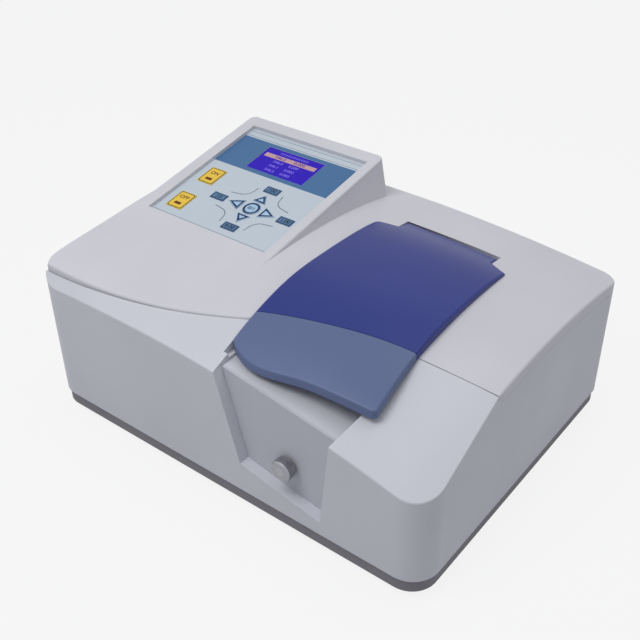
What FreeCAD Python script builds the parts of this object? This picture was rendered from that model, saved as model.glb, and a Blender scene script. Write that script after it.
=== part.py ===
import FreeCAD, Part
import math
import os
import re
import Sketcher

# UV-Vis spectrophotometer: a domed case with a raised console on the left and an
# arched lid over the sample compartment on the right. Millimetres, +Z up, +X to the
# right and +Y to the back. The origin is on the bench, under the middle of the case.

Vector = FreeCAD.Vector
doc = FreeCAD.newDocument("Spectrophotometer")

# Driving dimensions: alias, value, and what it is
SIZES = [
    ("body_width", 476, "case, left to right"),
    ("body_depth", 360, "case, front face to back face"),
    ("wall_thickness", 3, "moulded walls of base, housing and tub"),
    ("fit_gap", 0.3, "gap between neighbouring pieces"),
    ("foot_height", 8, "bench to the underside of the base tray"),
    ("foot_radius", 11, "rubber foot"),
    ("foot_inset", 45, "foot centre from the side, front and back faces"),
    ("strip_height", 15, "visible dark strip of the base tray"),
    ("strip_inset", 2, "base tray inside the line of the housing"),
    ("floor_thickness", 2.5, "floor of the base tray"),
    ("upstand_height", 6, "rim of the base tray inside the housing"),
    ("corner_front", 29, "plan radius of the front corners"),
    ("corner_back", 20, "plan radius of the back corners"),
    ("front_edge_height", 160.2, "top of the front face at its highest"),
    ("front_edge_peak", 127, "left side to that highest point"),
    ("front_edge_arch", 1276, "radius of the front top edge, right of that point"),
    ("front_edge_flat", 3600, "radius of the front top edge, left of that point"),
    ("front_edge_round", 1.5, "rounding of the front top edge"),
    ("dome_height", 191.6, "top of the dome"),
    ("dome_setback", 198, "front face to the top of the dome"),
    ("dome_radius", 796, "front to back curve of the dome"),
    ("crown_start", 208, "left side to where the dome starts to fall"),
    ("crown_radius", 1985, "left to right curve of the dome"),
    ("shoulder_height", 190, "left side of the cover at its highest"),
    ("shoulder_setback", 210, "front face to that highest point"),
    ("shoulder_radius", 1500, "flatter curve of the left side"),
    ("shoulder_start", 201, "left side to where the flatter curve begins"),
    ("cover_thickness", 4, "top cover"),
    ("cover_round", 2.5, "rounded edge of the top cover"),
    ("cover_skirt", 12, "top of the cover down to the seam with the housing"),
    ("cover_inset", 3, "left side of the cover inside the housing's"),
    ("seam_gap", 0.3, "seam between cover and housing"),
    ("lip_height", 6, "locating lip of the cover below the seam"),
    ("lip_thickness", 2, "locating lip of the cover"),
    ("ledge_width", 8, "ledge of the housing under the cover's front edge"),
    ("groove_width", 1.2, "groove in front of the cover"),
    ("groove_step", 1.2, "cover above the housing along the groove on the left"),
    ("groove_dip", 7, "how much lower the groove lies at the far left"),
    ("groove_setback", 9.5, "front face to the groove at the far left"),
    ("groove_sweep", 50.5, "how much further back it is beside the recess"),
    ("groove_setback_right", 102, "front face to the groove right of the lid"),
    ("groove_skew", 6, "how much further back it ends at the right side"),
    ("compartment_inset", 153, "right side to the middle of the compartment"),
    ("recess_left", 76.3, "middle of the compartment to the recess, top left"),
    ("recess_left_low", 51, "the same, bottom left"),
    ("recess_right", 54, "middle of the compartment to the recess, top right"),
    ("recess_right_low", 43.5, "the same, bottom right"),
    ("recess_floor", 57.5, "height of the recess's lower left corner"),
    ("recess_floor_right", 38.5, "height of its lower right corner"),
    ("recess_depth", 11.7, "front face to the recessed plate"),
    ("shelf_height", 155.2, "shelf under the lid, left end"),
    ("shelf_fall", 0.165, "fall of the shelf to the right, mm per mm"),
    ("shelf_depth", 62, "front face to the riser behind the shelf"),
    ("shelf_flare", 13, "how much further right the shelf reaches at the riser"),
    ("plate_thickness", 2.5, "recessed front plate"),
    ("plate_ledge", 5, "ledge that the recessed plate lies on"),
    ("well_half_left", 76, "middle of the compartment to the well's left side"),
    ("well_half_right", 67, "middle of the compartment to its right side"),
    ("well_back", 258, "front face to the back of the well"),
    ("well_wall", 2.5, "walls of the well in the cover"),
    ("deck_height", 168, "top of the deck round the compartment"),
    ("deck_thickness", 3, "deck round the compartment"),
    ("console_inset", 10, "left side to the console's top edge"),
    ("console_width", 191, "console top, left to right"),
    ("console_height", 225.2, "back edge of the console above the bench"),
    ("console_setback", 26, "back face to the console's back edge"),
    ("console_length", 240, "console top, front to back in plan"),
    ("console_tilt", 9.9, "slope of the console in degrees"),
    ("console_spread_left", 6, "how far its left wall spreads at the foot"),
    ("console_spread_right", 11, "how far its right wall spreads at the foot"),
    ("console_corner", 8, "radius of its back corners"),
    ("console_round", 2, "radius of its top edges"),
    ("console_foot", 60, "back edge down to the foot of its walls"),
    ("console_thickness", 9, "console top"),
    ("console_wall", 4, "console walls"),
    ("panel_left", 16, "console edge to the keypad recess, left"),
    ("panel_back", 17.8, "console edge to the keypad recess, back"),
    ("panel_width", 164, "keypad recess"),
    ("panel_length", 179, "keypad recess along the slope"),
    ("panel_depth", 5.2, "depth of the keypad recess"),
    ("overlay_thickness", 1.2, "keypad overlay"),
    ("display_left", 42.2, "keypad recess to the display window, left"),
    ("display_back", 21.8, "keypad recess to the display window, back"),
    ("display_width", 80, "display window"),
    ("display_length", 44, "display window along the slope"),
    ("lid_height", 198.5, "top of the lid"),
    ("lid_thickness", 3, "lid mouldings"),
    ("lid_left", 80.5, "middle of the compartment to the lid's left edge"),
    ("lid_right", 72, "middle of the compartment to its right edge"),
    ("lid_flare", 6, "how much wider it is at its right front corner"),
    ("lid_front", 31, "front face to the lid's front left corner"),
    ("lid_bulge", 10, "how far the front edge bows out"),
    ("lid_clearance", 0.8, "lid skirt above the cover"),
    ("lid_skirt", 8.5, "skirt along the lid's front"),
    ("lid_seam", 64.5, "front face to the lid's seam, left end"),
    ("lid_seam_right", 100, "front face to the lid's seam, right end"),
    ("lid_seam_gap", 0.6, "seam between the lid's two mouldings"),
    ("lid_round", 2.5, "rounded edge of the lid"),
    ("lid_chamfer", 9, "cut corners at the lid's back"),
    ("lid_relief", 12, "relief of its skirt ahead of the back of the well"),
    ("tongue_step", 15.5, "back of the tongue to the lid's back edge beside it"),
    ("tongue_left", 58, "middle of the compartment to the hinge tongue, left"),
    ("tongue_right", 51, "middle of the compartment to the tongue, right"),
    ("tongue_back", 286.5, "front face to the back of the hinge tongue"),
    ("hinge_setback", 275, "front face to the hinge axis"),
    ("hinge_height", 175.5, "hinge axis above the bench"),
    ("trough_radius", 16, "trough for the hinge tongue"),
    ("barrel_radius", 4.6, "hinge barrels and eyes"),
    ("hinge_rod_radius", 2, "hinge rod"),
    ("running_gap", 0.05, "radial clearance of shafts, rails and pins"),
    ("barrel_width", 12, "each hinge barrel and each eye"),
    ("barrel_start", 25, "middle of the compartment to the barrels' inner ends"),
    ("opening_width", 114, "inside of the compartment, left to right"),
    ("opening_setback", 71, "front face to the inside of the compartment"),
    ("opening_length", 168, "inside of the compartment, front to back"),
    ("seal_height", 2.2, "foam seal on the deck"),
    ("seal_width", 5, "foam seal"),
    ("liner_thickness", 2.5, "liner frame inside the lid"),
    ("bench_height", 34, "underside of the optical bench"),
    ("bench_thickness", 8, "optical bench"),
    ("bench_inset", 22, "left side to the optical bench"),
    ("bench_length", 415, "optical bench, left to right"),
    ("bench_setback", 68, "front face to the optical bench"),
    ("bench_depth", 204, "optical bench, front to back"),
    ("pillar_radius", 6, "pillars under the optical bench"),
    ("tub_floor", 4, "floor of the compartment"),
    ("beam_setback", 160, "front face to the light beam"),
    ("beam_height", 82, "light beam above the bench top"),
    ("window_radius", 8, "beam windows in the compartment"),
    ("rail_radius", 3, "carriage rails"),
    ("rail_spacing", 44, "between the two rails"),
    ("rail_height", 56, "rails above the bench top"),
    ("cell_pitch", 20, "from one cuvette to the next"),
    ("cell_size", 12.5, "outside of a cuvette"),
    ("cell_wall", 1.25, "glass of a cuvette"),
    ("cell_height", 45, "cuvette"),
    ("cell_floor", 64, "height of the cuvettes' seat"),
    ("cell_gap", 0.25, "cuvette to its pocket, each side"),
    ("rack_width", 24, "rack for the cuvettes"),
    ("rack_height", 31, "rack for the cuvettes"),
    ("slab_width", 60, "sliding base of the carriage"),
    ("slab_height", 12, "sliding base of the carriage"),
    ("rod_radius", 2.5, "pull rod"),
    ("rod_height", 77.5, "pull rod above the bench top"),
    ("knob_radius", 10.8, "pull knob"),
    ("knob_length", 11, "pull knob"),
    ("knob_proud", 2, "knob ahead of the front face"),
    ("bush_radius", 6, "flange of the rod's bush"),
    ("bush_flange", 1.5, "flange of the rod's bush"),
    ("vent_left", 60, "left side to the floor's first vent slot"),
    ("vent_front", 110, "front face to the vent slots"),
    ("vent_width", 4, "vent slot"),
    ("vent_length", 60, "vent slot"),
    ("vent_pitch", 14, "from one vent slot to the next"),
    ("screw_radius", 2, "screw shanks"),
    ("screw_head", 3.8, "screw heads"),
    ("screw_cap", 2, "height of the screw heads"),
    ("screw_height", 40, "rear screws above the bench top"),
    ("foot_recess", 4, "screw recess in the foot"),
    ("foot_taper", 1.5, "taper of the foot"),
    ("bush_neck", 4, "neck of the bush in the plate"),
    ("bracket_foot", 11, "foot of the hinge brackets on the deck"),
    ("bracket_lift", 2, "arm of the brackets above the deck"),
    ("seal_margin", 2, "opening to the seal"),
    ("bench_rib", 12, "ribs under the bench"),
    ("pillar_inset", 24, "pillars inside the edge of the bench"),
    ("rack_end", 4, "rack beyond the end cells"),
    ("cell_window", 8, "light windows of the rack"),
    ("rod_socket", 7, "rod inside the knob"),
    ("knob_bevel", 1.2, "bevel of the knob"),
    ("cross_left", 100.6, "keypad recess to the middle of the key cross, left"),
    ("cross_back", 124.8, "keypad recess to the middle of the key cross, back"),
    ("cross_reach", 35.5, "middle of the cross to the far and near keys"),
    ("cross_span", 46.5, "middle of the cross to the left and right keys"),
    ("menu_width", 19, "key of the cross"),
    ("menu_length", 10.3, "key of the cross, along the slope"),
    ("start_left", 20.8, "keypad recess to the middle of the large keys"),
    ("start_back", 99.2, "keypad recess to the middle of the far large key"),
    ("start_pitch", 50.8, "from one large key to the other"),
    ("start_width", 21.5, "large key"),
    ("start_length", 27.5, "large key, along the slope"),
    ("arrow_half", 8.5, "arrow key, half of its base"),
    ("arrow_reach_side", 17.5, "arrow key, base to tip, left and right"),
    ("arrow_reach", 13.3, "arrow key, base to tip, far and near"),
    ("arrow_step_side", 14.3, "middle of the cross to the bases of the left and right arrows"),
    ("arrow_step", 12.2, "middle of the cross to the bases of the far and near arrows"),
    ("round_key", 10, "radius of the round key"),
    ("key_travel", 0.5, "travel of the keys"),
    ("key_proud", 0.6, "keys above the overlay"),
    ("display_rim", 7, "carrier of the display beyond its window"),
    ("display_body", 8, "carrier of the display"),
    ("board_drop", 5, "console top to the keypad board"),
    ("board_margin", 8, "edges of boards"),
    ("board_thickness", 1.6, "circuit boards"),
    ("post_radius", 3, "stand-offs of boards"),
    ("source_inset", 16, "left side to the lamp house"),
    ("source_width", 66, "lamp house, left to right"),
    ("source_before", 42, "beam to the front of the lamp house"),
    ("source_behind", 78, "beam to the back of the lamp house"),
    ("source_height", 88, "lamp house above the bench"),
    ("louvre_pitch", 12, "between the slots of the lamp house"),
    ("lamp_spacing", 30, "mirror to the first lamp"),
    ("lamp_base", 10, "radius of the lamp bases"),
    ("lamp_foot", 10, "height of the lamp bases"),
    ("lamp_stem", 3, "radius of the lamp stems"),
    ("halogen_radius", 5, "halogen lamp envelope"),
    ("halogen_length", 9, "halogen lamp envelope, above and below the beam"),
    ("arc_radius", 9, "arc lamp envelope"),
    ("arc_length", 20, "arc lamp envelope, above and below the beam"),
    ("turntable_lift", 5, "bench to the mirror's turntable"),
    ("turntable_radius", 15, "turntable of the source mirror"),
    ("turntable_height", 5, "turntable of the source mirror"),
    ("mirror_thickness", 3, "mirrors"),
    ("mirror_width", 20, "mirrors of the monochromator"),
    ("mirror_inset", 24, "mirrors inside the monochromator"),
    ("pin_radius", 2.5, "pins of turntables and fan"),
    ("pin_height", 16, "pin of the grating"),
    ("wheel_gap", 4, "clear space beside the filter wheel"),
    ("wheel_radius", 28, "filter wheel"),
    ("wheel_thickness", 4, "filter wheel"),
    ("filter_circle", 19, "filters from the wheel's axis"),
    ("filter_radius", 6, "filters"),
    ("motor_radius", 12, "filter motor"),
    ("motor_length", 24, "filter motor"),
    ("motor_shaft", 2, "motor shafts"),
    ("mono_start", 104, "lamp house's left side to the monochromator"),
    ("mono_width", 122, "monochromator, left to right"),
    ("mono_before", 56, "beam to the front of the monochromator"),
    ("mono_behind", 118, "beam to the back of the monochromator"),
    ("mono_height", 84, "monochromator above the bench"),
    ("slit_width", 3, "slits"),
    ("slit_height", 14, "slits"),
    ("grating_offset", 30, "beam to the grating's axis"),
    ("gear_distance", 36, "grating axis to the drive pinion"),
    ("gear_module", 1, "teeth of the grating drive"),
    ("gear_height", 4, "teeth of the grating drive"),
    ("gear_lift", 3, "floor to the toothed sector"),
    ("gear_backlash", 0.25, "play between the teeth"),
    ("sector_half_angle", 62, "half of the toothed sector in degrees"),
    ("table_radius", 16, "grating table"),
    ("grating_size", 25, "grating"),
    ("drive_radius", 11, "drive motor"),
    ("drive_height", 20, "drive motor"),
    ("detector_length", 40, "detector, left to right"),
    ("detector_width", 40, "detector"),
    ("board_stand", 6, "floor to the main board"),
    ("card_left", 118, "left side to the main board"),
    ("card_front", 102, "front face to the main board"),
    ("card_width", 190, "main board"),
    ("card_depth", 130, "main board"),
    ("chip_pitch", 34, "between the parts on the main board"),
    ("chip_width", 18, "parts on the main board"),
    ("chip_height", 6, "parts on the main board"),
    ("supply_inset", 14, "right side to the power supply"),
    ("supply_setback", 30, "back face to the power supply"),
    ("supply_width", 118, "power supply"),
    ("supply_depth", 50, "power supply"),
    ("supply_height", 46, "power supply"),
    ("fan_inset", 60, "left side to the fan's axis"),
    ("fan_height", 92, "fan axis above the bench top"),
    ("fan_size", 80, "fan frame"),
    ("fan_corner", 5, "corners of the fan frame"),
    ("fan_bore", 37, "bore of the fan"),
    ("fan_depth", 25, "fan frame"),
    ("hub_radius", 14, "hub of the fan"),
    ("rotor_gap", 1, "clearance of the fan's rotor"),
    ("blade_margin", 2, "hub beyond the blades"),
    ("blade_width", 9, "fan blades"),
    ("guard_rim", 4, "rim of the fan guard"),
    ("guard_bar", 2, "bars of the fan guard"),
    ("guard_thickness", 2, "fan guard and inlet flange"),
    ("inlet_inset", 72, "right side to the power inlet"),
    ("inlet_height", 92, "inlet above the bench top"),
    ("inlet_width", 48, "power inlet"),
    ("inlet_rise", 28, "power inlet"),
    ("inlet_flange", 4, "flange of the inlet"),
    ("inlet_depth", 22, "inlet inside the case"),
    ("socket_rim", 3, "rim of the socket"),
    ("socket_rise", 17, "mouth of the socket"),
    ("socket_width_cut", 17, "part of the inlet kept for the switch"),
    ("socket_depth", 16, "depth of the socket"),
    ("rocker_width", 12, "switch rocker"),
    ("rocker_rise", 20, "switch rocker"),
    ("rocker_depth", 12, "well of the switch rocker"),
    ("rocker_dip", 2, "how far the rocker's upper end is pressed in"),
    ("port_inset", 140, "right side to the data socket"),
    ("port_width", 18, "data socket"),
    ("port_rise", 12, "data socket"),
]

sheet = doc.addObject("Spreadsheet::Sheet", "Sizes")
for row, (alias, number, meaning) in enumerate(SIZES, start=1):
    sheet.set("A%d" % row, meaning)
    sheet.set("B%d" % row, repr(number))
    sheet.setAlias("B%d" % row, alias)
doc.recompute()


def tied(text):
    """An expression in which each size is read from the sheet."""
    return re.sub(r"\b[a-z]+(?:_[a-z0-9]+)+\b", r"Sizes.\g<0>", text)


def worth(text):
    """The number that an expression of sizes comes to."""
    return float(sheet.evalExpression(tied(text)))


def bind(thing, where, text):
    """Bind one property of an object to an expression of sizes."""
    thing.setExpression(where, tied(text))


# Places that several pieces share, as expressions
FRONT = "(-body_depth / 2)"
BACK = "(body_depth / 2)"
LEFT = "(-body_width / 2)"
RIGHT = "(body_width / 2)"
MIDDLE = "(body_width / 2 - compartment_inset)"

front = worth(FRONT)
back = worth(BACK)
left = worth(LEFT)
right = worth(RIGHT)
middle = worth(MIDDLE)
wall = worth("wall_thickness")
gap = worth("fit_gap")
seam = worth("foot_height + strip_height")
sky_height = 150


# Case surfaces

def eased(share):
    """A share from 0 to 1 that starts and ends gently."""
    share = min(1.0, max(0.0, share))
    return share * share * (3 - 2 * share)


def fall(distance, radius):
    """How far a shallow arc has fallen at a distance from its top."""
    return distance ** 2 / (2 * radius)


def crown(x):
    """Fall of cover and lid to the right."""
    return fall(max(0.0, x - left - worth("crown_start")), worth("crown_radius"))


def dome(x, y):
    """Height of the case's top behind the groove."""
    setback = y - front
    arc = worth("dome_height") - fall(setback - worth("dome_setback"), worth("dome_radius"))
    ahead = setback - worth("shoulder_setback")
    shoulder = worth("shoulder_height") - fall(ahead, worth("shoulder_radius"))
    flatness = eased((left + worth("shoulder_start") - x) / worth("shoulder_start"))
    return arc + (max(arc, shoulder) - arc) * flatness - crown(x)


def front_edge(x):
    """Height of the front face's top edge."""
    from_peak = x - left - worth("front_edge_peak")
    radius = worth("front_edge_arch") if from_peak > 0 else worth("front_edge_flat")
    return worth("front_edge_height") - fall(from_peak, radius)


# Sketched bodies

def new_body(label, x="0", y="0", z="0"):
    """A sub-part made of sketched features, placed by three expressions."""
    body = doc.addObject("PartDesign::Body", label)
    body.Label = label
    for axis, text in zip("xyz", (x, y, z)):
        bind(body, "Placement.Base." + axis, text)
    return body


def sketch_on(body, plane="XY_Plane", lift="0"):
    """A sketch on one of the body's own planes, lifted off it."""
    support = next(item for item in body.Origin.OriginFeatures if item.Role == plane)
    sketch = body.newObject("Sketcher::SketchObject", body.Name + "_sketch")
    sketch.AttachmentSupport = [(support, "")]
    sketch.MapMode = "FlatFace"
    bind(sketch, "AttachmentOffset.Base.z", lift)
    return sketch


def hold(sketch, element, point, x, y):
    """Hold a sketch point at a place given by two expressions."""
    for kind, text in (("DistanceX", x), ("DistanceY", y)):
        number = sketch.addConstraint(Sketcher.Constraint(kind, -1, 1, element, point, worth(text)))
        bind(sketch, "Constraints[%d]" % number, text)


def polygon(sketch, corners):
    """A closed outline of straight lines through corners given as expressions."""
    spots = [Vector(worth(x), worth(y), 0) for x, y in corners]
    first = sketch.GeometryCount
    for start, end in zip(spots, spots[1:] + spots[:1]):
        sketch.addGeometry(Part.LineSegment(start, end))
    for number, (x, y) in enumerate(corners):
        following = first + (number + 1) % len(corners)
        sketch.addConstraint(Sketcher.Constraint("Coincident", first + number, 2, following, 1))
        hold(sketch, first + number, 1, x, y)


def rectangle(sketch, x_from, x_to, y_from, y_to):
    """A rectangle between limits given as expressions."""
    polygon(sketch, [(x_from, y_from), (x_to, y_from), (x_to, y_to), (x_from, y_to)])


def circle(sketch, x, y, radius):
    """A circle whose centre and radius are expressions."""
    centre = Vector(worth(x), worth(y), 0)
    element = sketch.addGeometry(Part.Circle(centre, Vector(0, 0, 1), worth(radius)))
    hold(sketch, element, 3, x, y)
    number = sketch.addConstraint(Sketcher.Constraint("Radius", element, worth(radius)))
    bind(sketch, "Constraints[%d]" % number, radius)


def rounded_rectangle(sketch, x_from, x_to, y_from, y_to, radius_low, radius_high):
    """A rectangle with round corners, of one radius at y_from and another at y_to."""
    corners = [
        (x_from, "+", y_from, "+", radius_low, 180),
        (x_to, "-", y_from, "+", radius_low, 270),
        (x_to, "-", y_to, "-", radius_high, 0),
        (x_from, "+", y_to, "-", radius_high, 90),
    ]
    arcs = []
    for x, sign_x, y, sign_y, radius, start in corners:
        centre_x = "(%s) %s (%s)" % (x, sign_x, radius)
        centre_y = "(%s) %s (%s)" % (y, sign_y, radius)
        centre = Vector(worth(centre_x), worth(centre_y), 0)
        whole = Part.Circle(centre, Vector(0, 0, 1), worth(radius))
        turn = math.radians(start)
        arc = sketch.addGeometry(Part.ArcOfCircle(whole, turn, turn + math.pi / 2))
        hold(sketch, arc, 3, centre_x, centre_y)
        number = sketch.addConstraint(Sketcher.Constraint("Radius", arc, worth(radius)))
        bind(sketch, "Constraints[%d]" % number, radius)
        arcs.append((arc, sketch.Geometry[arc].StartPoint, sketch.Geometry[arc].EndPoint))
    for (arc, _, end), (next_arc, start, _) in zip(arcs, arcs[1:] + arcs[:1]):
        line = sketch.addGeometry(Part.LineSegment(end, start))
        sketch.addConstraint(Sketcher.Constraint("Tangent", arc, 2, line, 1))
        sketch.addConstraint(Sketcher.Constraint("Tangent", line, 2, next_arc, 1))


def pad(body, sketch, length, backwards=False):
    """Add material from a sketch."""
    feature = body.newObject("PartDesign::Pad", body.Name + "_pad")
    feature.Profile = sketch
    feature.Reversed = backwards
    bind(feature, "Length", length)
    sketch.Visibility = False
    return feature


def pocket(body, sketch, length, onwards=False):
    """Cut material against the sketch's normal, or along it where onwards is set."""
    feature = body.newObject("PartDesign::Pocket", body.Name + "_pocket")
    feature.Profile = sketch
    feature.Reversed = onwards
    bind(feature, "Length", length)
    sketch.Visibility = False
    return feature


def revolve(body, sketch, axis="V_Axis"):
    """Turn a sketch all the way round one of its axes."""
    feature = body.newObject("PartDesign::Revolution", body.Name + "_revolution")
    feature.Profile = sketch
    feature.ReferenceAxis = (sketch, [axis])
    feature.Angle = 360
    return feature


def repeat(body, feature, sketch, axis, pitch, count):
    """Repeat a feature in a line along one of its sketch's axes."""
    pattern = body.newObject("PartDesign::LinearPattern", body.Name + "_row")
    pattern.Originals = [feature]
    pattern.Direction = (sketch, [axis])
    pattern.Occurrences = count
    bind(pattern, "Length", "(%s) * %d" % (pitch, count - 1))
    body.Tip = pattern
    return pattern


# Primitive solids

def place(thing, x, y, z):
    for axis, text in zip("xyz", (x, y, z)):
        bind(thing, "Placement.Base." + axis, text)


TURNS = {
    "x": FreeCAD.Rotation(Vector(0, 1, 0), 90),
    "y": FreeCAD.Rotation(Vector(1, 0, 0), -90),
    "z": FreeCAD.Rotation(),
}


def solid_rod(radius, length, x, y, z, axis="z"):
    """A cylinder from a point along an axis, all given as expressions."""
    rod = doc.addObject("Part::Cylinder", "rod")
    bind(rod, "Radius", radius)
    bind(rod, "Height", length)
    rod.Placement = FreeCAD.Placement(Vector(), TURNS[axis])
    place(rod, x, y, z)
    return rod


def joined(label, pieces):
    """One node of several solids, joined where they meet."""
    node = doc.addObject("Part::MultiFuse", label)
    node.Label = label
    node.Shapes = pieces
    return node


nodes = []


def keep(thing, label=None):
    """Count an object as a sub-part of the model."""
    if label:
        thing.Label = label
    nodes.append(thing)
    return thing


def shaped(label, shape):
    """A sub-part whose curved form is worked out from the sheet."""
    node = doc.addObject("Part::Feature", label)
    node.Label = label
    node.Shape = shape
    node.Placement = FreeCAD.Placement()
    return keep(node)


def groove(x):
    """Setback and height of the groove in front of the cover."""
    corner = left + worth("corner_front")
    inner = middle - worth("recess_left")
    outer = middle + worth("well_half_right")
    if x <= inner:
        share = max(0.0, (x - corner) / (inner - corner))
        setback = worth("groove_setback") + worth("groove_sweep") * share ** 2
        below_dome = worth("groove_step") + worth("groove_dip") * (1 - share) ** 3
        return setback, dome(x, front + setback) - below_dome
    if x >= outer:
        setback = worth("groove_setback_right") + worth("groove_skew") * (x - outer) / (right - outer)
        return setback, dome(x, front + setback)
    share = (x - inner) / (outer - inner)
    start, start_height = groove(inner)
    end, end_height = groove(outer)
    return start + (end - start) * share, start_height + (end_height - start_height) * share


def slope_point(x, share):
    """A point of the sloped front band: 0 at the front edge, 1 at the groove."""
    setback, height = groove(x)
    edge = front_edge(x)
    return Vector(x, front + setback * share, edge + (height - edge) * share)


def spread(start, end, count):
    """Evenly spaced values from start to end."""
    return [start + (end - start) * step / (count - 1) for step in range(count)]


def solid_above(rows):
    """Everything above the smooth surface through rows of points."""
    surface = Part.BSplineSurface()
    surface.interpolate(rows)
    return surface.toShape().extrude(Vector(0, 0, sky_height))


MARGIN = 22
CEILING = worth("console_height")
dome_rows = [
    [Vector(x, y, dome(x, y)) for y in spread(front - MARGIN, back + MARGIN, 10)]
    for x in spread(left - MARGIN, right + MARGIN, 11)
]
above_dome = solid_above(dome_rows)
recess_x = middle - worth("recess_left")
band_x = (
    spread(left - MARGIN, recess_x, 9)
    + spread(recess_x, middle + worth("well_half_right"), 4)[1:]
    + spread(middle + worth("well_half_right"), right + MARGIN, 4)[1:]
)
above_band = solid_above([[slope_point(x, share) for share in (-0.4, 0, 0.5, 1, 1.4)] for x in band_x])
rim_y = spread(front - MARGIN, back + MARGIN, 4)
above_rim = solid_above([[Vector(x, y, groove(x)[1]) for y in rim_y] for x in band_x])


def lowered(shape, distance):
    """The same shape, moved down."""
    return shape.translated(Vector(0, 0, -distance))


# Plan outlines

def rounded(points_and_radii, height):
    """A closed plan outline whose corners have radii of their own, at a height."""
    edges = []
    spots = [Vector(x, y, height) for x, y, _ in points_and_radii]
    count = len(spots)
    ends = []
    for number, (_, _, radius) in enumerate(points_and_radii):
        corner = spots[number]
        inward = (spots[number - 1] - corner).normalize()
        onward = (spots[(number + 1) % count] - corner).normalize()
        if radius <= 0:
            ends.append((corner, corner))
            continue
        half = inward.getAngle(onward) / 2
        reach = radius / math.tan(half)
        first = corner + inward * reach
        last = corner + onward * reach
        centre = corner + (inward + onward).normalize() * (radius / math.sin(half))
        crest = centre + (corner - centre).normalize() * radius
        edges.append(Part.Arc(first, crest, last).toShape())
        ends.append((first, last))
    for number in range(count):
        start = ends[number][1]
        end = ends[(number + 1) % count][0]
        if start.distanceToPoint(end) > 1e-6:
            edges.append(Part.LineSegment(start, end).toShape())
    return Part.Wire(Part.__sortEdges__(edges))


def prism(wire):
    """An upright solid on a plan outline, up to the ceiling."""
    return Part.Face(wire).extrude(Vector(0, 0, CEILING - wire.BoundBox.ZMin))


def case_outline(inset, height):
    """Plan outline of the case, inset all round."""
    near = max(0.5, worth("corner_front") - inset)
    far = max(0.5, worth("corner_back") - inset)
    corners = [
        (left + inset, front + inset, near),
        (right - inset, front + inset, near),
        (right - inset, back - inset, far),
        (left + inset, back - inset, far),
    ]
    return rounded(corners, height)


def groove_line(offset, height, first_x, last_x):
    """The groove in plan from first_x to the recess and on to last_x, moved back by offset."""
    inner = middle - worth("recess_left")
    outer = middle + worth("well_half_right")
    points = [Vector(x, front + groove(x)[0] + offset, height) for x in spread(first_x, inner, 8)]
    steepness = 2 * worth("groove_sweep") / (inner - left - worth("corner_front"))
    curve = Part.BSplineCurve()
    curve.interpolate(Points=points, InitialTangent=Vector(1, 0, 0), FinalTangent=Vector(1, steepness, 0))
    turn = Vector(outer, front + groove(outer)[0] + offset, height)
    end = Vector(last_x, front + groove(last_x)[0] + offset, height)
    return [curve.toShape(), Part.LineSegment(points[-1], turn).toShape(), Part.LineSegment(turn, end).toShape()]


def quarter(centre_x, centre_y, height, radius, start_angle):
    """A quarter circle in plan, anticlockwise from start_angle."""
    spots = []
    for angle in (start_angle, start_angle + 45, start_angle + 90):
        turn = math.radians(angle)
        spots.append(Vector(centre_x + radius * math.cos(turn), centre_y + radius * math.sin(turn), height))
    return Part.Arc(*spots).toShape()


def closed(edges):
    """One closed outline from edges in any order."""
    return Part.Wire(Part.__sortEdges__(edges))


def behind_groove(offset):
    """Everything behind the groove, moved back by offset."""
    first = left - MARGIN
    last = right + MARGIN
    edges = groove_line(offset, 0, first, last)
    corners = [
        Vector(last, front + groove(last)[0] + offset, 0),
        Vector(last, back + MARGIN, 0),
        Vector(first, back + MARGIN, 0),
        Vector(first, front + groove(first)[0] + offset, 0),
    ]
    edges += [Part.LineSegment(a, b).toShape() for a, b in zip(corners, corners[1:])]
    return prism(closed(edges))


def cover_outline(inset):
    """Plan outline of the top cover, inset all round."""
    near = max(1.0, worth("corner_front - cover_inset") - inset)
    far = max(1.0, worth("corner_back") - inset)
    side = left + worth("cover_inset") + inset
    end = right - inset
    rear = back - inset
    offset = worth("groove_width") + inset
    centre_y = front + worth("corner_front")
    start_y = front + worth("groove_setback") + offset
    start_x = side + near - math.sqrt(near ** 2 - (centre_y - start_y) ** 2)
    turn = (math.atan2(centre_y - start_y, side + near - start_x)) / 2
    crest = Vector(side + near - near * math.cos(turn), centre_y - near * math.sin(turn), 0)
    edges = groove_line(offset, 0, start_x, end)
    edges.append(Part.Arc(Vector(start_x, start_y, 0), crest, Vector(side, centre_y, 0)).toShape())
    edges.append(quarter(side + far, rear - far, 0, far, 90))
    edges.append(quarter(end - far, rear - far, 0, far, 0))
    sides = [
        (Vector(end, front + groove(end)[0] + offset, 0), Vector(end, rear - far, 0)),
        (Vector(end - far, rear, 0), Vector(side + far, rear, 0)),
        (Vector(side, rear - far, 0), Vector(side, centre_y, 0)),
    ]
    return closed(edges + [Part.LineSegment(a, b).toShape() for a, b in sides])


def block(x_from, x_to, y_from, y_to, z_from, z_to):
    """A plain block between limits."""
    corner = Vector(x_from, y_from, z_from)
    return Part.makeBox(x_to - x_from, y_to - y_from, z_to - z_from, corner)


def below(distance, surface=above_dome):
    """Everything below the dome, or another surface, lowered by a distance."""
    whole = block(left - MARGIN / 2, right + MARGIN / 2, front - MARGIN / 2, back + MARGIN / 2, 0, CEILING)
    return whole.cut(lowered(surface, distance))


# Top cover: the domed block behind the groove, rounded along its edges
def domed_block():
    solid = prism(cover_outline(0)).cut(above_dome)
    top = max(solid.Faces, key=lambda face: face.CenterOfMass.z)
    inner = middle - worth("recess_left")
    chain = []
    for edge in top.Edges:
        centre = edge.CenterOfMass
        behind = front + groove(centre.x)[0] + worth("cover_round")
        if centre.y > behind or edge.BoundBox.XMax < inner + gap:
            chain.append(edge)
    return solid.makeFillet(worth("cover_round"), chain)


# Well in the cover under the lid, with a trough for the hinge tongue
DEEP = 5


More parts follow.
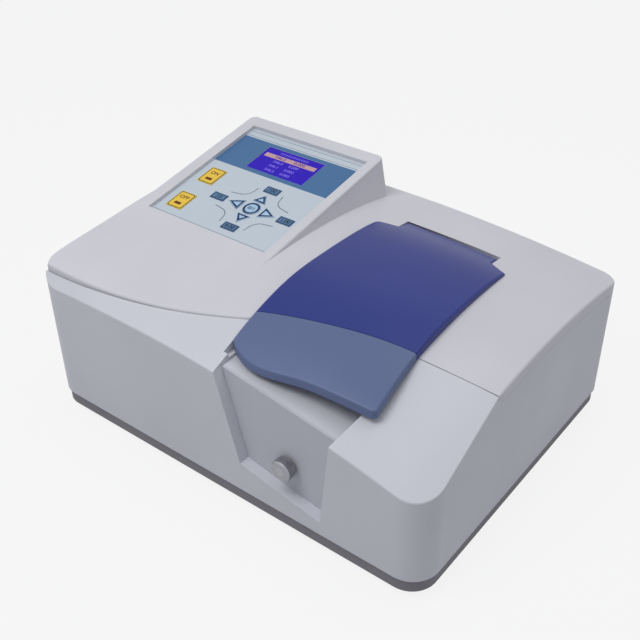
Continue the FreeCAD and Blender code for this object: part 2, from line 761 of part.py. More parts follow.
def trough(radius, y_from, x_from, x_to):
    """The hinge trough: a half round behind the hinge axis and a flat floor in front of it."""
    axis_y = front + worth("hinge_setback")
    axis_z = worth("hinge_height")
    across = Vector(1, 0, 0)
    round_part = Part.makeCylinder(radius, x_to - x_from, Vector(x_from, axis_y, axis_z), across)
    return round_part.fuse(block(x_from, x_to, y_from, axis_y, axis_z - radius, CEILING))


def well(grow, floor):
    """The open space under the lid, grown sideways, from a floor upwards."""
    x_from = middle - worth("well_half_left") - grow
    x_to = middle + worth("well_half_right") + grow
    y_to = front + worth("well_back") + grow
    space = block(x_from, x_to, front - DEEP, y_to, floor, CEILING)
    notch_y = front + worth("lid_seam_right")
    lid_side = middle - worth("lid_left") - worth("lid_seam_gap")
    low = worth("shelf_height + wall_thickness")
    return space.fuse(block(lid_side - grow, middle, front - DEEP, notch_y + grow, low, CEILING))


def hinge_trough(grow):
    """The trough behind the well, grown by a wall."""
    x_from = middle - worth("tongue_left + lid_seam_gap") - grow
    x_to = middle + worth("tongue_right + lid_seam_gap") + grow
    y_from = front + worth("well_back + well_wall") - grow
    space = trough(worth("trough_radius") + grow, y_from, x_from, x_to)
    return space.fuse(block(x_from, x_to, front + worth("well_back") - 1, y_from + 1, worth("deck_height"), CEILING))


# Console: a wedge with spread walls, open underneath
def console_point(across, along, rise):
    """A point of the console's frame: from its back left corner, along the slope, and off it."""
    tilt = math.radians(worth("console_tilt"))
    x = left + worth("console_inset") + across
    y = back - worth("console_setback") + along * math.cos(tilt) - rise * math.sin(tilt)
    z = worth("console_height") + along * math.sin(tilt) + rise * math.cos(tilt)
    return Vector(x, y, z)


def beyond(first, second, third, outward):
    """Everything on one side of the plane through three points."""
    face = Part.Plane(first, second, third).toShape(-600, 600, -600, 600)
    normal = face.normalAt(0, 0)
    if normal.dot(outward) < 0:
        normal = normal * -1
    return face.extrude(normal * 300)


def console_block(inset, top_drop):
    """The console's wedge: spread walls, inset all round, its top lowered."""
    foot_z = worth("console_height - console_foot")
    x_left = left + worth("console_inset")
    x_right = x_left + worth("console_width")
    y_back = back - worth("console_setback")
    y_front = y_back - worth("console_length")
    solid = block(x_left - 50, x_right + 50, y_front + inset, y_back - inset, foot_z, CEILING)
    slope_front = console_point(0, -worth("console_length"), 0)
    for x, side, spread_by in (
        (x_left, -1, worth("console_spread_left")),
        (x_right, 1, worth("console_spread_right")),
    ):
        corner = Vector(x, y_back, CEILING)
        foot = Vector(x + side * spread_by, y_back, foot_z)
        ahead = Vector(x, slope_front.y, slope_front.z)
        shift = Vector(-side * inset, 0, 0)
        solid = solid.cut(beyond(corner + shift, foot + shift, ahead + shift, Vector(side, 0, 0)))
    top = [console_point(across, along, -top_drop) for across, along in ((0, 0), (100, 0), (0, -100))]
    return solid.cut(beyond(top[0], top[1], top[2], Vector(0, 0, 1)))


def console_box(x_from, x_to, y_from, y_to, low, high):
    """A block in the console's own frame."""
    plan = ((x_from, y_from), (x_to, y_from), (x_to, y_to), (x_from, y_to))
    corners = [console_point(x, y, low) for x, y in plan]
    face = Part.Face(Part.makePolygon(corners + corners[:1]))
    return face.extrude(console_point(0, 0, high) - console_point(0, 0, low))


def rounded_console():
    """The console's wedge with its back corners and top edges rounded."""
    solid = console_block(0, 0)
    upright = []
    for edge in solid.Edges:
        rise = edge.BoundBox.ZLength
        if rise > worth("console_foot") * 0.9 and edge.CenterOfMass.y > 0:
            upright.append(edge)
    solid = solid.makeFillet(worth("console_corner"), upright)
    top = max(solid.Faces, key=lambda face: face.CenterOfMass.z)
    limit = back - worth("console_setback + console_length") + 1
    chain = [edge for edge in top.Edges if edge.CenterOfMass.y > limit]
    return solid.makeFillet(worth("console_round"), chain)


def top_cover():
    """The moulded cover: domed shell, console, locating lip, and the well under the lid."""
    thick = worth("cover_thickness")
    drop = worth("cover_skirt")
    lap = wall + gap
    outer = domed_block().fuse(rounded_console())
    hollow = prism(cover_outline(thick)).cut(lowered(above_dome, thick))
    hollow = hollow.fuse(console_block(worth("console_wall"), worth("console_thickness")))
    hollow = hollow.cut(console_box(
        worth("panel_left") - wall, worth("panel_left + panel_width") + wall,
        -worth("panel_back + panel_length") - wall, -worth("panel_back") + wall,
        -worth("console_thickness"), 0,
    ))
    shell = outer.cut(below(drop)).cut(hollow)
    lip = prism(cover_outline(lap)).cut(prism(cover_outline(lap + worth("lip_thickness"))))
    lip = lip.cut(lowered(above_dome, thick)).cut(below(drop + worth("lip_height")))
    lip = lip.common(behind_groove(worth("ledge_width") + lap))
    floor = worth("deck_height - deck_thickness")
    walls = well(worth("well_wall"), floor).fuse(hinge_trough(worth("well_wall")))
    walls = walls.cut(lowered(above_dome, thick / 2)).common(behind_groove(worth("groove_width")))
    shell = shell.fuse(walls).fuse(lip)
    front_strip = prism(case_outline(0, 0)).cut(behind_groove(worth("ledge_width") + gap))
    low_front = front_strip.common(block(left, middle, front, 0, 0, CEILING)).cut(lowered(above_rim, thick))
    flush_front = front_strip.common(block(middle, right, front, 0, 0, CEILING))
    flush_front = flush_front.cut(lowered(above_dome, thick))
    panel = console_box(
        worth("panel_left"), worth("panel_left + panel_width"),
        -worth("panel_back + panel_length"), -worth("panel_back"),
        -worth("panel_depth"), worth("console_round"),
    )
    window_left = worth("panel_left + display_left")
    window_back = -worth("panel_back + display_back")
    window = console_box(
        window_left, window_left + worth("display_width"),
        window_back - worth("display_length"), window_back,
        -2 * worth("console_thickness"), 0,
    )
    for cut in (well(0, 0), hinge_trough(0), low_front, flush_front, panel, window):
        shell = shell.cut(cut)
    return shell


# Housing: front, sides and back, with the sloped band, the recess and the shelf

def recess_prism(grow, y_from, y_to):
    """The recess in the front face, seen from the front, grown all round."""
    corners = [
        (middle - worth("recess_left"), worth("shelf_height")),
        (middle - worth("recess_left_low"), worth("recess_floor")),
        (middle + worth("recess_right_low"), worth("recess_floor_right")),
        (middle + worth("recess_right"), shelf_at(middle + worth("recess_right"))),
    ]
    spots = [Vector(x, y_from, z) for x, z in corners]
    outline = Part.makePolygon(spots + spots[:1])
    if grow:
        outline = outline.makeOffset2D(grow, 2)
    return Part.Face(outline).extrude(Vector(0, y_to - y_from, 0))


def shelf_at(x):
    """Height of the shelf under the lid."""
    return worth("shelf_height") - worth("shelf_fall") * (x - middle + worth("recess_left"))


def shelf_space(grow, drop):
    """The finger space above the shelf, grown sideways and back, its floor lowered."""
    x_from = middle - worth("recess_left") - grow
    x_front = middle + worth("recess_right") + grow
    x_to = x_front + worth("shelf_flare")
    y_to = front + worth("shelf_depth") + grow
    y_from = front - DEEP
    plan = [(x_from, y_from), (x_front, y_from), (x_front, front), (x_to, y_to), (x_from, y_to)]
    spots = [Vector(x, y, 0) for x, y in plan]
    space = Part.Face(Part.makePolygon(spots + spots[:1])).extrude(Vector(0, 0, CEILING))
    level = [Vector(x, y, shelf_at(x) - drop) for x, y in ((0, 0), (100, 0), (0, 100))]
    return space.cut(beyond(level[0], level[1], level[2], Vector(0, 0, -1)))


def housing():
    """The moulded housing above the base tray."""
    case = prism(case_outline(0, seam))
    rear = behind_groove(0)
    drop = worth("cover_skirt + seam_gap")
    band = case.cut(rear).cut(above_band)
    low_edge = [edge for edge in band.Edges if is_front_edge(edge)]
    band = band.makeFillet(worth("front_edge_round"), low_edge)
    under = worth("cover_thickness") + gap
    sides = case.common(rear).cut(lowered(above_dome, drop))
    raised = case.common(rear).cut(behind_groove(worth("ledge_width"))).cut(lowered(above_dome, under))
    sides = sides.fuse(raised.common(block(middle, right, front, back, seam, CEILING)))
    inside = prism(case_outline(wall, seam - 1))
    shell = band.cut(inside.cut(rear).cut(lowered(above_band, wall)))
    shell = shell.fuse(sides.cut(inside))
    ledge = inside.common(behind_groove(-wall)).cut(behind_groove(worth("ledge_width")))
    ledge = ledge.cut(lowered(above_band, wall / 2))
    lid_side = middle - worth("lid_left") - worth("lid_seam_gap")
    left_ledge = ledge.common(block(left, lid_side, front, back, 0, CEILING))
    left_ledge = left_ledge.cut(rear.common(lowered(above_rim, under))).cut(below(under + wall, above_rim))
    right_ledge = ledge.common(block(middle + worth("well_half_right"), right, front, back, 0, CEILING))
    right_ledge = right_ledge.cut(rear.common(lowered(above_dome, under))).cut(below(under + wall))
    shell = shell.fuse(left_ledge).fuse(right_ledge)
    plate_back = front + worth("recess_depth + plate_thickness")
    deep = plate_back + wall
    frame = recess_prism(wall, front, deep).common(band)
    tray = shelf_space(wall, wall).common(block(left, right, front, back, 0, worth("deck_height - deck_thickness")))
    tray = tray.common(case.cut(rear).cut(above_band).fuse(case.common(rear)))
    floor = worth("shelf_height") + wall
    pocket_front = front + worth("lid_front - lid_bulge")
    pocket_back = front + worth("shelf_depth")
    pocket_walls = block(
        lid_side - wall, middle - worth("recess_left"), pocket_front - wall, pocket_back + wall, floor - wall, CEILING,
    )
    pocket_walls = pocket_walls.common(case.cut(rear).cut(above_band))
    shell = shell.fuse(frame).fuse(tray).fuse(pocket_walls)
    shell = shell.cut(recess_prism(0, front - DEEP, plate_back))
    shell = shell.cut(recess_prism(-worth("plate_ledge"), front, deep + DEEP))
    shell = shell.cut(shelf_space(0, 0))
    lid_corner = block(lid_side, middle, pocket_front, pocket_back, floor, CEILING)
    under_lid = block(
        middle - worth("well_half_left"), middle + worth("well_half_right"),
        front + worth("shelf_depth"), front + worth("well_back"),
        worth("deck_height - deck_thickness"), CEILING,
    )
    half_tub = worth("opening_width / 2 + wall_thickness + fit_gap")
    tub_space = block(
        middle - half_tub, middle + half_tub,
        front + worth("opening_setback - wall_thickness - fit_gap"), front + worth("well_back"),
        worth("bench_height + bench_thickness"), CEILING,
    )
    return shell.cut(lid_corner).cut(under_lid).cut(tub_space)


def is_front_edge(edge):
    """Whether an edge is the front face's curved top edge."""
    box = edge.BoundBox
    return box.YMax < front + worth("corner_front") and box.ZMin > seam + DEEP and box.XLength > DEEP


def rear_openings(shell):
    """The housing with its openings at the back: fan, inlet, data socket and screws."""
    fan_x = left + worth("fan_inset")
    y = back - 2 * wall
    along = Vector(0, 1, 0)
    fan = Part.makeCylinder(worth("fan_bore"), 3 * wall, Vector(fan_x, y, worth("fan_height")), along)
    inlet_x = right - worth("inlet_inset")
    z = worth("inlet_height")
    half = worth("inlet_width") / 2 + gap
    rise = worth("inlet_rise") / 2 + gap
    inlet = block(inlet_x - half, inlet_x + half, y, back + wall, z - rise, z + rise)
    port_x = right - worth("port_inset")
    port_half = worth("port_width") / 2 + gap
    port_rise = worth("port_rise") / 2 + gap
    port = block(port_x - port_half, port_x + port_half, y, back + wall, z - port_rise, z + port_rise)
    cuts = [fan, inlet, port]
    for share in REAR_SCREWS:
        at = Vector(worth("body_width") * share, y, worth("screw_height"))
        cuts.append(Part.makeCylinder(worth("screw_radius + fit_gap"), 3 * wall, at, along))
    for cut in cuts:
        shell = shell.cut(cut)
    return shell


REAR_SCREWS = (-0.42, -0.14, 0.14, 0.42)


# Lid: two mouldings over the compartment, dark behind and light in front

LID_PROFILE = [
    (12, 37),
    (40, 24),
    (64.5, 14.6),
    (94, 6.2),
    (124, 1.2),
    (166, 0),
    (216.5, 1.3),
    (268, 8.2),
    (290, 12.6),
]


def lid_surface():
    """Everything above the lid: its front to back profile, carried across the crown."""
    rows = []
    for x in spread(middle - worth("lid_left") - MARGIN, middle + worth("lid_right") + MARGIN, 6):
        row = []
        for setback, drop in LID_PROFILE:
            row.append(Vector(x, front + setback, worth("lid_height") - drop - crown(x)))
        rows.append(row)
    return solid_above(rows)


def smooth_line(points):
    """A smooth line in plan through points."""
    curve = Part.BSplineCurve()
    curve.interpolate([Vector(x, y, 0) for x, y in points])
    return curve.toShape()


def lid_outline(inset):
    """Plan outline of the lid, with the hinge tongue at its back."""
    x_left = middle - worth("lid_left") + inset
    x_right = middle + worth("lid_right") - inset
    x_corner = x_right + worth("lid_flare")
    y_left = front + worth("lid_front") + inset
    bulge = worth("lid_bulge")
    y_right = y_left + 0.6 * bulge
    width = x_corner - x_left
    bow = [
        (x_left + 3, y_left),
        (x_left + 0.22 * width, y_left - bulge),
        (x_left + 0.5 * width, y_left - 0.35 * bulge),
        (x_left + 0.78 * width, y_left + 0.1 * bulge),
        (x_corner - 4, y_right - 3),
    ]
    y_back = front + worth("tongue_back") - inset
    y_step = y_back - worth("tongue_step")
    t_left = middle - worth("tongue_left") + inset
    t_right = middle + worth("tongue_right") - inset
    side = [
        (x_corner, y_right),
        (x_right + 0.55 * worth("lid_flare"), front + worth("lid_seam_right")),
        (x_right, y_step - worth("lid_chamfer")),
    ]
    straight = [
        side[-1],
        (t_right, y_step + 1),
        (t_right, y_back),
        (t_left, y_back),
        (t_left, y_step - 3.5),
        (x_left + 3, y_step - worth("lid_chamfer")),
        (x_left, y_step - worth("lid_chamfer") - 5),
        (x_left, y_left + 4),
        bow[0],
    ]
    edges = [smooth_line(bow), smooth_line(side)]
    edges.append(Part.LineSegment(Vector(*bow[-1], 0), Vector(*side[0], 0)).toShape())
    for start, end in zip(straight, straight[1:]):
        edges.append(Part.LineSegment(Vector(*start, 0), Vector(*end, 0)).toShape())
    return closed(edges)


def ahead_of_seam(offset):
    """Everything in front of the seam across the lid, moved back by offset."""
    x_from = middle - worth("lid_left") - DEEP
    x_to = middle + worth("lid_right + lid_flare") + DEEP
    y_left = front + worth("lid_seam") + offset
    y_right = front + worth("lid_seam_right") + offset
    rise = y_right - y_left
    width = x_to - x_from
    seam_line = [
        (x_from, y_left - 1),
        (x_from + 0.22 * width, y_left + 0.30 * rise),
        (x_from + 0.42 * width, y_left + 0.55 * rise),
        (x_from + 0.6 * width, y_left + 0.75 * rise),
        (x_to, y_right),
    ]
    ends = [seam_line[-1], (x_to, front - MARGIN), (x_from, front - MARGIN), seam_line[0]]
    edges = [smooth_line(seam_line)]
    for start, end in zip(ends, ends[1:]):
        edges.append(Part.LineSegment(Vector(*start, 0), Vector(*end, 0)).toShape())
    return prism(closed(edges))


def lid_shell(cover_form, housing_form):
    """The lid before its seam is cut: shell, skirt, webs and hinge barrels."""
    above_lid = lid_surface()
    solid = prism(lid_outline(0)).cut(above_lid)
    top = max(solid.Faces, key=lambda face: face.CenterOfMass.z)
    solid = solid.makeFillet(worth("lid_round"), top.Edges)
    thick = worth("lid_thickness")
    hollow = prism(lid_outline(thick)).cut(lowered(above_lid, thick))
    shell = solid.cut(hollow)
    low = prism(Part.makePolygon(corner_ring())).cut(lowered(above_lid, worth("lid_skirt")))
    shell = shell.cut(low)
    clearance = Vector(0, 0, worth("lid_clearance"))
    for form in (cover_form, housing_form):
        shell = shell.cut(form.translated(clearance))
    well_corner = block(
        middle - worth("lid_left") - DEEP, middle - worth("well_half_left") + DEEP,
        front + worth("well_back - lid_relief"), front + worth("well_back") + DEEP, 0, CEILING,
    )
    shell = shell.cut(well_corner.common(below(-worth("lid_clearance"))))
    axis = Vector(0, front + worth("hinge_setback"), worth("hinge_height"))
    barrel = worth("barrel_radius")
    bore = worth("hinge_rod_radius + running_gap")
    pieces = []
    for start in (-worth("barrel_start + barrel_width"), worth("barrel_start")):
        x = middle + start
        wide = worth("barrel_width")
        eye = Part.makeCylinder(barrel, wide, Vector(x, axis.y, axis.z), Vector(1, 0, 0))
        web = block(x, x + wide, axis.y - barrel, axis.y + barrel, axis.z, CEILING).cut(lowered(above_lid, thick / 2))
        pieces.append(eye.fuse(web))
    shell = max(shell.Solids, key=lambda solid: solid.Volume)
    for piece in pieces:
        shell = shell.fuse(piece)
    hole = Part.makeCylinder(bore, 200, Vector(middle - 100, axis.y, axis.z), Vector(1, 0, 0))
    return shell.cut(hole)


def corner_ring():
    """A rectangle in plan a little larger than the lid."""
    x_from = middle - worth("lid_left") - DEEP
    x_to = middle + worth("lid_right + lid_flare") + DEEP
    y_to = front + worth("tongue_back") + 1
    y_from = front + worth("lid_front") - 12
    plan = [(x_from, y_from), (x_to, y_from), (x_to, y_to), (x_from, y_to), (x_from, y_from)]
    return [Vector(x, y, 0) for x, y in plan]


def lid_liner():
    """The frame inside the lid that meets the foam seal."""
    half = worth("opening_width / 2 + seal_margin + seal_width / 2") + worth("liner_thickness") / 2
    y_from = front + worth("opening_setback - seal_margin - seal_width / 2") - worth("liner_thickness") / 2
    y_to = front + worth("opening_setback + opening_length + seal_margin + seal_width / 2")
    y_to += worth("liner_thickness") / 2
    floor = worth("deck_height + seal_height") + gap
    thick = worth("liner_thickness")
    ring = block(middle - half, middle + half, y_from, y_to, floor, CEILING)
    ring = ring.cut(block(middle - half + thick, middle + half - thick, y_from + thick, y_to - thick, 0, CEILING))
    return ring.cut(lowered(lid_surface(), worth("lid_thickness") + gap / 2))


def front_plate():
    """The plate on its ledge at the back of the recess, with a hole for the rod's bush."""
    face = front + worth("recess_depth")
    plate = recess_prism(-gap, face, face + worth("plate_thickness"))
    hole = Part.makeCylinder(
        worth("bush_neck") + gap, worth("plate_thickness") * 3,
        Vector(middle, face - worth("plate_thickness"), worth("rod_height")), Vector(0, 1, 0),
    )
    return plate.cut(hole)


# Grating drive: involute teeth of a sector and its pinion

def tooth_outline(centre, pitch_radius, angle, module, play):
    """One straight-flanked tooth about a direction: root, flank, tip, flank, root."""
    half_pitch = module * math.pi / 4 - play / 2
    shape = (
        (pitch_radius - 1.25 * module, 1.45),
        (pitch_radius, 1.0),
        (pitch_radius + 0.9 * module, 0.5),
        (pitch_radius + 0.9 * module, -0.5),
        (pitch_radius, -1.0),
        (pitch_radius - 1.25 * module, -1.45),
    )
    spots = []
    for radius, share in shape:
        turn = angle - share * half_pitch / pitch_radius
        spots.append(centre + Vector(radius * math.cos(turn), radius * math.sin(turn), 0))
    return spots


def toothed(centre, pitch_radius, angles):
    """Teeth of one height at a pitch radius, one for each angle."""
    module = worth("gear_module")
    teeth = []
    for angle in angles:
        spots = tooth_outline(centre, pitch_radius, angle, module, worth("gear_backlash"))
        face = Part.Face(Part.makePolygon(spots + spots[:1]))
        teeth.append(face.extrude(Vector(0, 0, worth("gear_height"))))
    return teeth


def gear_centre():
    """The grating's axis at the level of the teeth."""
    x = worth("-body_width / 2 + source_inset + mono_start + mono_width / 2")
    y = front + worth("beam_setback + grating_offset")
    z = worth("bench_height + bench_thickness + wall_thickness + gear_lift")
    return Vector(x, y, z)


PINION_TEETH = 12


def grating_mount():
    """Toothed sector, round table and grating, on one hub."""
    centre = gear_centre()
    height = worth("gear_height")
    module = worth("gear_module")
    pinion_radius = PINION_TEETH * module / 2
    sector_radius = worth("gear_distance") - pinion_radius
    reach = sector_radius - 1.25 * module
    half = worth("sector_half_angle")
    sector = Part.makeCylinder(reach + 0.02, height, centre, Vector(0, 0, 1), 2 * half)
    sector.rotate(centre, Vector(0, 0, 1), 270 - half)
    pitch = math.pi * module / sector_radius
    count = int(math.radians(half) / pitch - 1)
    angles = [math.radians(270) + step * pitch for step in range(-count, count + 1)]
    sector = sector.multiFuse(toothed(centre, sector_radius, angles))
    table = Part.makeCylinder(worth("table_radius"), height * 2, centre)
    size_across = worth("grating_size")
    low = centre.z + height * 2 - 1
    grating = Part.makeBox(size_across, worth("mirror_thickness") * 2, size_across + 1)
    grating.translate(Vector(centre.x - size_across / 2, centre.y - worth("mirror_thickness"), low))
    bore = Part.makeCylinder(worth("pin_radius + running_gap"), worth("pin_height"), centre)
    return sector.fuse(table).fuse(grating).cut(bore)


def drive_pinion():
    """The pinion on the drive motor's shaft."""
    centre = gear_centre() - Vector(0, worth("gear_distance"), 0)
    module = worth("gear_module")
    radius = PINION_TEETH * module / 2
    core = Part.makeCylinder(radius - 1.25 * module + 0.02, worth("gear_height"), centre)
    pitch = 2 * math.pi / PINION_TEETH
    angles = [math.radians(90) + (step + 0.5) * pitch for step in range(PINION_TEETH)]
    gear = core.multiFuse(toothed(centre, radius, angles))
    bore = Part.makeCylinder(worth("motor_shaft + running_gap"), worth("gear_height"), centre)
    return gear.cut(bore)


cover = top_cover()
case_shell = housing()
shaped("top_cover", cover)
shaped("housing_shell", rear_openings(case_shell))
lid = lid_shell(cover, case_shell)
half_seam = worth("lid_seam_gap") / 2
shaped("lid_rear", lid.cut(ahead_of_seam(half_seam)))
shaped("lid_front", lid.common(ahead_of_seam(-half_seam)))
shaped("lid_liner", lid_liner())


# Base tray: shallow moulding with a rim that locates the housing
TRAY_LEFT = "(-body_width / 2 + strip_inset)"
TRAY_RIGHT = "(body_width / 2 - strip_inset)"
TRAY_FRONT = "(-body_depth / 2 + strip_inset)"
TRAY_BACK = "(body_depth / 2 - strip_inset)"
FLOOR = "(foot_height + floor_thickness)"
SEAM = "(foot_height + strip_height)"


def inset_case(sketch, inset):
    """The case's plan outline, inset by an expression."""
    rounded_rectangle(
        sketch,
        "-body_width / 2 + (%s)" % inset, "body_width / 2 - (%s)" % inset,
        "-body_depth / 2 + (%s)" % inset, "body_depth / 2 - (%s)" % inset,
        "corner_front - (%s)" % inset, "corner_back - (%s)" % inset,
    )


tray = keep(new_body("base_tray", z="foot_height"))
outline = sketch_on(tray)
inset_case(outline, "strip_inset")
pad(tray, outline, "strip_height")
hollow = sketch_on(tray, lift="strip_height")
inset_case(hollow, "strip_inset + wall_thickness")
pocket(tray, hollow, "strip_height - floor_thickness")
rim = sketch_on(tray, lift="strip_height")
inset_case(rim, "wall_thickness + fit_gap")
inset_case(rim, "strip_inset + wall_thickness")
pad(tray, rim, "upstand_height")
vents = sketch_on(tray, lift="floor_thickness")
rectangle(vents, "vent_left", "vent_left + vent_width", "vent_front", "vent_front + vent_length")
slots = pocket(tray, vents, "floor_thickness")
repeat(tray, slots, vents, "H_Axis", "vent_pitch", 8)
foot_holes = sketch_on(tray, lift="floor_thickness")
FOOT_X = "(body_width / 2 - foot_inset)"
FOOT_Y = "(body_depth / 2 - foot_inset)"
CORNERS = [(side_x, side_y) for side_x in ("-", "") for side_y in ("-", "")]
for side_x, side_y in CORNERS:
    circle(foot_holes, side_x + FOOT_X, side_y + FOOT_Y, "screw_radius + fit_gap")
pocket(tray, foot_holes, "floor_thickness")


def foot(side_x, side_y):
    """A turned rubber foot with a recess for its screw."""
    body = new_body("rubber_foot", side_x + FOOT_X, side_y + FOOT_Y)
    profile = sketch_on(body, "XZ_Plane")
    polygon(profile, [
        ("screw_radius + fit_gap", "foot_height"),
        ("screw_radius + fit_gap", "foot_recess"),
        ("screw_head + fit_gap", "foot_recess"),
        ("screw_head + fit_gap", "0"),
        ("foot_radius - foot_taper", "0"),
        ("foot_radius", "foot_height"),
    ])
    revolve(body, profile)
    return body


def screw(x, y, z, length, head, axis="z", towards=1):
    """A pan head screw: its head's outer face at the point, its shank along the axis."""
    thread = solid_rod("screw_radius", length, x, y, z, axis)
    cap = solid_rod("screw_head", head, x, y, z, axis)
    return [thread, cap]


keep(joined("rubber_feet", [foot(*corner) for corner in CORNERS]))
foot_screws = []
for side_x, side_y in CORNERS:
    foot_screws += screw(
        side_x + FOOT_X, side_y + FOOT_Y, "foot_recess - screw_cap",
        "screw_cap + foot_height - foot_recess + floor_thickness - fit_gap", "screw_cap",
    )
keep(joined("foot_screws", foot_screws))


# Recessed front plate with the bush of the pull rod
PLATE_FACE = "(-body_depth / 2 + recess_depth)"
shaped("front_panel", front_plate())

bush = keep(new_body("rod_bush", MIDDLE, PLATE_FACE, "rod_height"))
ring = sketch_on(bush, "XZ_Plane")
circle(ring, "0", "0", "bush_radius")
circle(ring, "0", "0", "rod_radius + running_gap")
pad(bush, ring, "bush_flange")
neck = sketch_on(bush, "XZ_Plane")
circle(neck, "0", "0", "bush_neck")
circle(neck, "0", "0", "rod_radius + running_gap")
pad(bush, neck, "plate_thickness", backwards=True)


# Compartment tub with its deck, rails and seal
TUB_FRONT = "(-body_depth / 2 + opening_setback)"
TUB_BACK = "(-body_depth / 2 + opening_setback + opening_length)"
BENCH_TOP = "(bench_height + bench_thickness)"
BEAM_Y = "(-body_depth / 2 + beam_setback)"

tub = keep(new_body("compartment_tub", MIDDLE, FRONT, BENCH_TOP))
outside = sketch_on(tub)
rectangle(
    outside, "-opening_width / 2 - wall_thickness", "opening_width / 2 + wall_thickness",
    "opening_setback - wall_thickness", "opening_setback + opening_length + wall_thickness",
)
pad(tub, outside, "deck_height - deck_thickness - %s" % BENCH_TOP)
deck = sketch_on(tub, lift="deck_height - deck_thickness - %s" % BENCH_TOP)
rectangle(
    deck, "-well_half_left + fit_gap", "well_half_right - fit_gap",
    "shelf_depth + fit_gap", "well_back - fit_gap",
)
pad(tub, deck, "deck_thickness")
inside = sketch_on(tub, lift="deck_height - %s" % BENCH_TOP)
rectangle(
    inside, "-opening_width / 2", "opening_width / 2",
    "opening_setback", "opening_setback + opening_length",
)
pocket(tub, inside, "deck_height - %s - tub_floor" % BENCH_TOP)
rod_hole = sketch_on(tub, "XZ_Plane")
circle(rod_hole, "0", "rod_height - %s" % BENCH_TOP, "rod_radius + fit_gap")
pocket(tub, rod_hole, "opening_setback + wall_thickness", onwards=False)
beam_holes = sketch_on(tub, "YZ_Plane", "opening_width")
circle(beam_holes, "beam_setback", "beam_height - %s" % BENCH_TOP, "window_radius")
pocket(tub, beam_holes, "opening_width * 2")

rails = []
for side in ("-", "+"):
    rails.append(solid_rod(
        "rail_radius", "opening_length", "%s %s rail_spacing / 2" % (MIDDLE, side),
        TUB_FRONT, "rail_height", "y",
    ))
keep(joined("carriage_rails", rails))

seal = keep(new_body("light_seal", MIDDLE, FRONT, "deck_height"))
band_sketch = sketch_on(seal)
SEAL_IN = "opening_width / 2 + seal_margin"
for grow in ("0", "seal_width"):
    rectangle(
        band_sketch, "-(%s + %s)" % (SEAL_IN, grow), "%s + %s" % (SEAL_IN, grow),
        "opening_setback - seal_margin - %s" % grow, "opening_setback + opening_length + seal_margin + %s" % grow,
    )
pad(seal, band_sketch, "seal_height")


# Hinge: two eyes on the deck and a rod; the lid's barrels turn on it
HINGE_Y = "(-body_depth / 2 + hinge_setback)"


def hinge_bracket(x_from):
    """An eye on an arm that stands on the deck behind the opening."""
    arm = new_body("bracket_arm", x_from, FRONT)
    side = sketch_on(arm, "YZ_Plane")
    polygon(side, [
        ("well_back - bracket_foot", "deck_height"),
        ("well_back - 2 * fit_gap", "deck_height"),
        ("well_back - fit_gap", "deck_height + bracket_lift"),
        ("hinge_setback", "hinge_height - barrel_radius + fit_gap"),
        ("hinge_setback", "hinge_height + barrel_radius - fit_gap"),
        ("well_back - bracket_foot / 2", "hinge_height"),
        ("well_back - bracket_foot", "deck_height + bracket_lift * 2"),
    ])
    pad(arm, side, "barrel_width - 2 * fit_gap")
    eye = sketch_on(arm, "YZ_Plane")
    circle(eye, "hinge_setback", "hinge_height", "barrel_radius")
    pad(arm, eye, "barrel_width - 2 * fit_gap")
    bore = sketch_on(arm, "YZ_Plane", "barrel_width")
    circle(bore, "hinge_setback", "hinge_height", "hinge_rod_radius + running_gap")
    pocket(arm, bore, "barrel_width * 2")
    return arm


keep(joined("hinge_brackets", [
    hinge_bracket("%s - barrel_start + fit_gap" % MIDDLE),
    hinge_bracket("%s + barrel_start - barrel_width + fit_gap" % MIDDLE),
]))
keep(solid_rod(
    "hinge_rod_radius", "2 * (barrel_start + barrel_width + fit_gap)",
    "%s - barrel_start - barrel_width - fit_gap" % MIDDLE, HINGE_Y, "hinge_height", "x",
), "hinge_rod")


# Optical bench on its pillars
BENCH_LEFT = "(-body_width / 2 + bench_inset)"
BENCH_FRONT = "(-body_depth / 2 + bench_setback)"
bench = keep(new_body("optical_bench", BENCH_LEFT, BENCH_FRONT, "bench_height"))
plan = sketch_on(bench)
rectangle(plan, "0", "bench_length", "0", "bench_depth")
pad(bench, plan, "bench_thickness")
ribs = sketch_on(bench)
rectangle(ribs, "bench_rib", "bench_length - bench_rib", "bench_rib", "bench_rib + wall_thickness")
row = pad(bench, ribs, "bench_rib", backwards=True)
repeat(bench, row, ribs, "V_Axis", "bench_depth / 2 - bench_rib - wall_thickness / 2", 3)

pillars = []
for x in ("%s + pillar_inset" % BENCH_LEFT, "%s + bench_length / 2" % BENCH_LEFT,
          "%s + bench_length - pillar_inset" % BENCH_LEFT):
    for y in ("%s + pillar_inset" % BENCH_FRONT, "%s + bench_depth - pillar_inset" % BENCH_FRONT):
        pillars.append(solid_rod("pillar_radius", "bench_height - %s" % FLOOR, x, y, FLOOR))
keep(joined("bench_pillars", pillars))


# Carriage: slab on the rails, rack with four cuvette pockets, and the pull rod
RACK_FRONT = "(%s - cell_pitch / 2 - rack_end)" % BEAM_Y
SLAB_LOW = "(rail_height - slab_height / 2)"

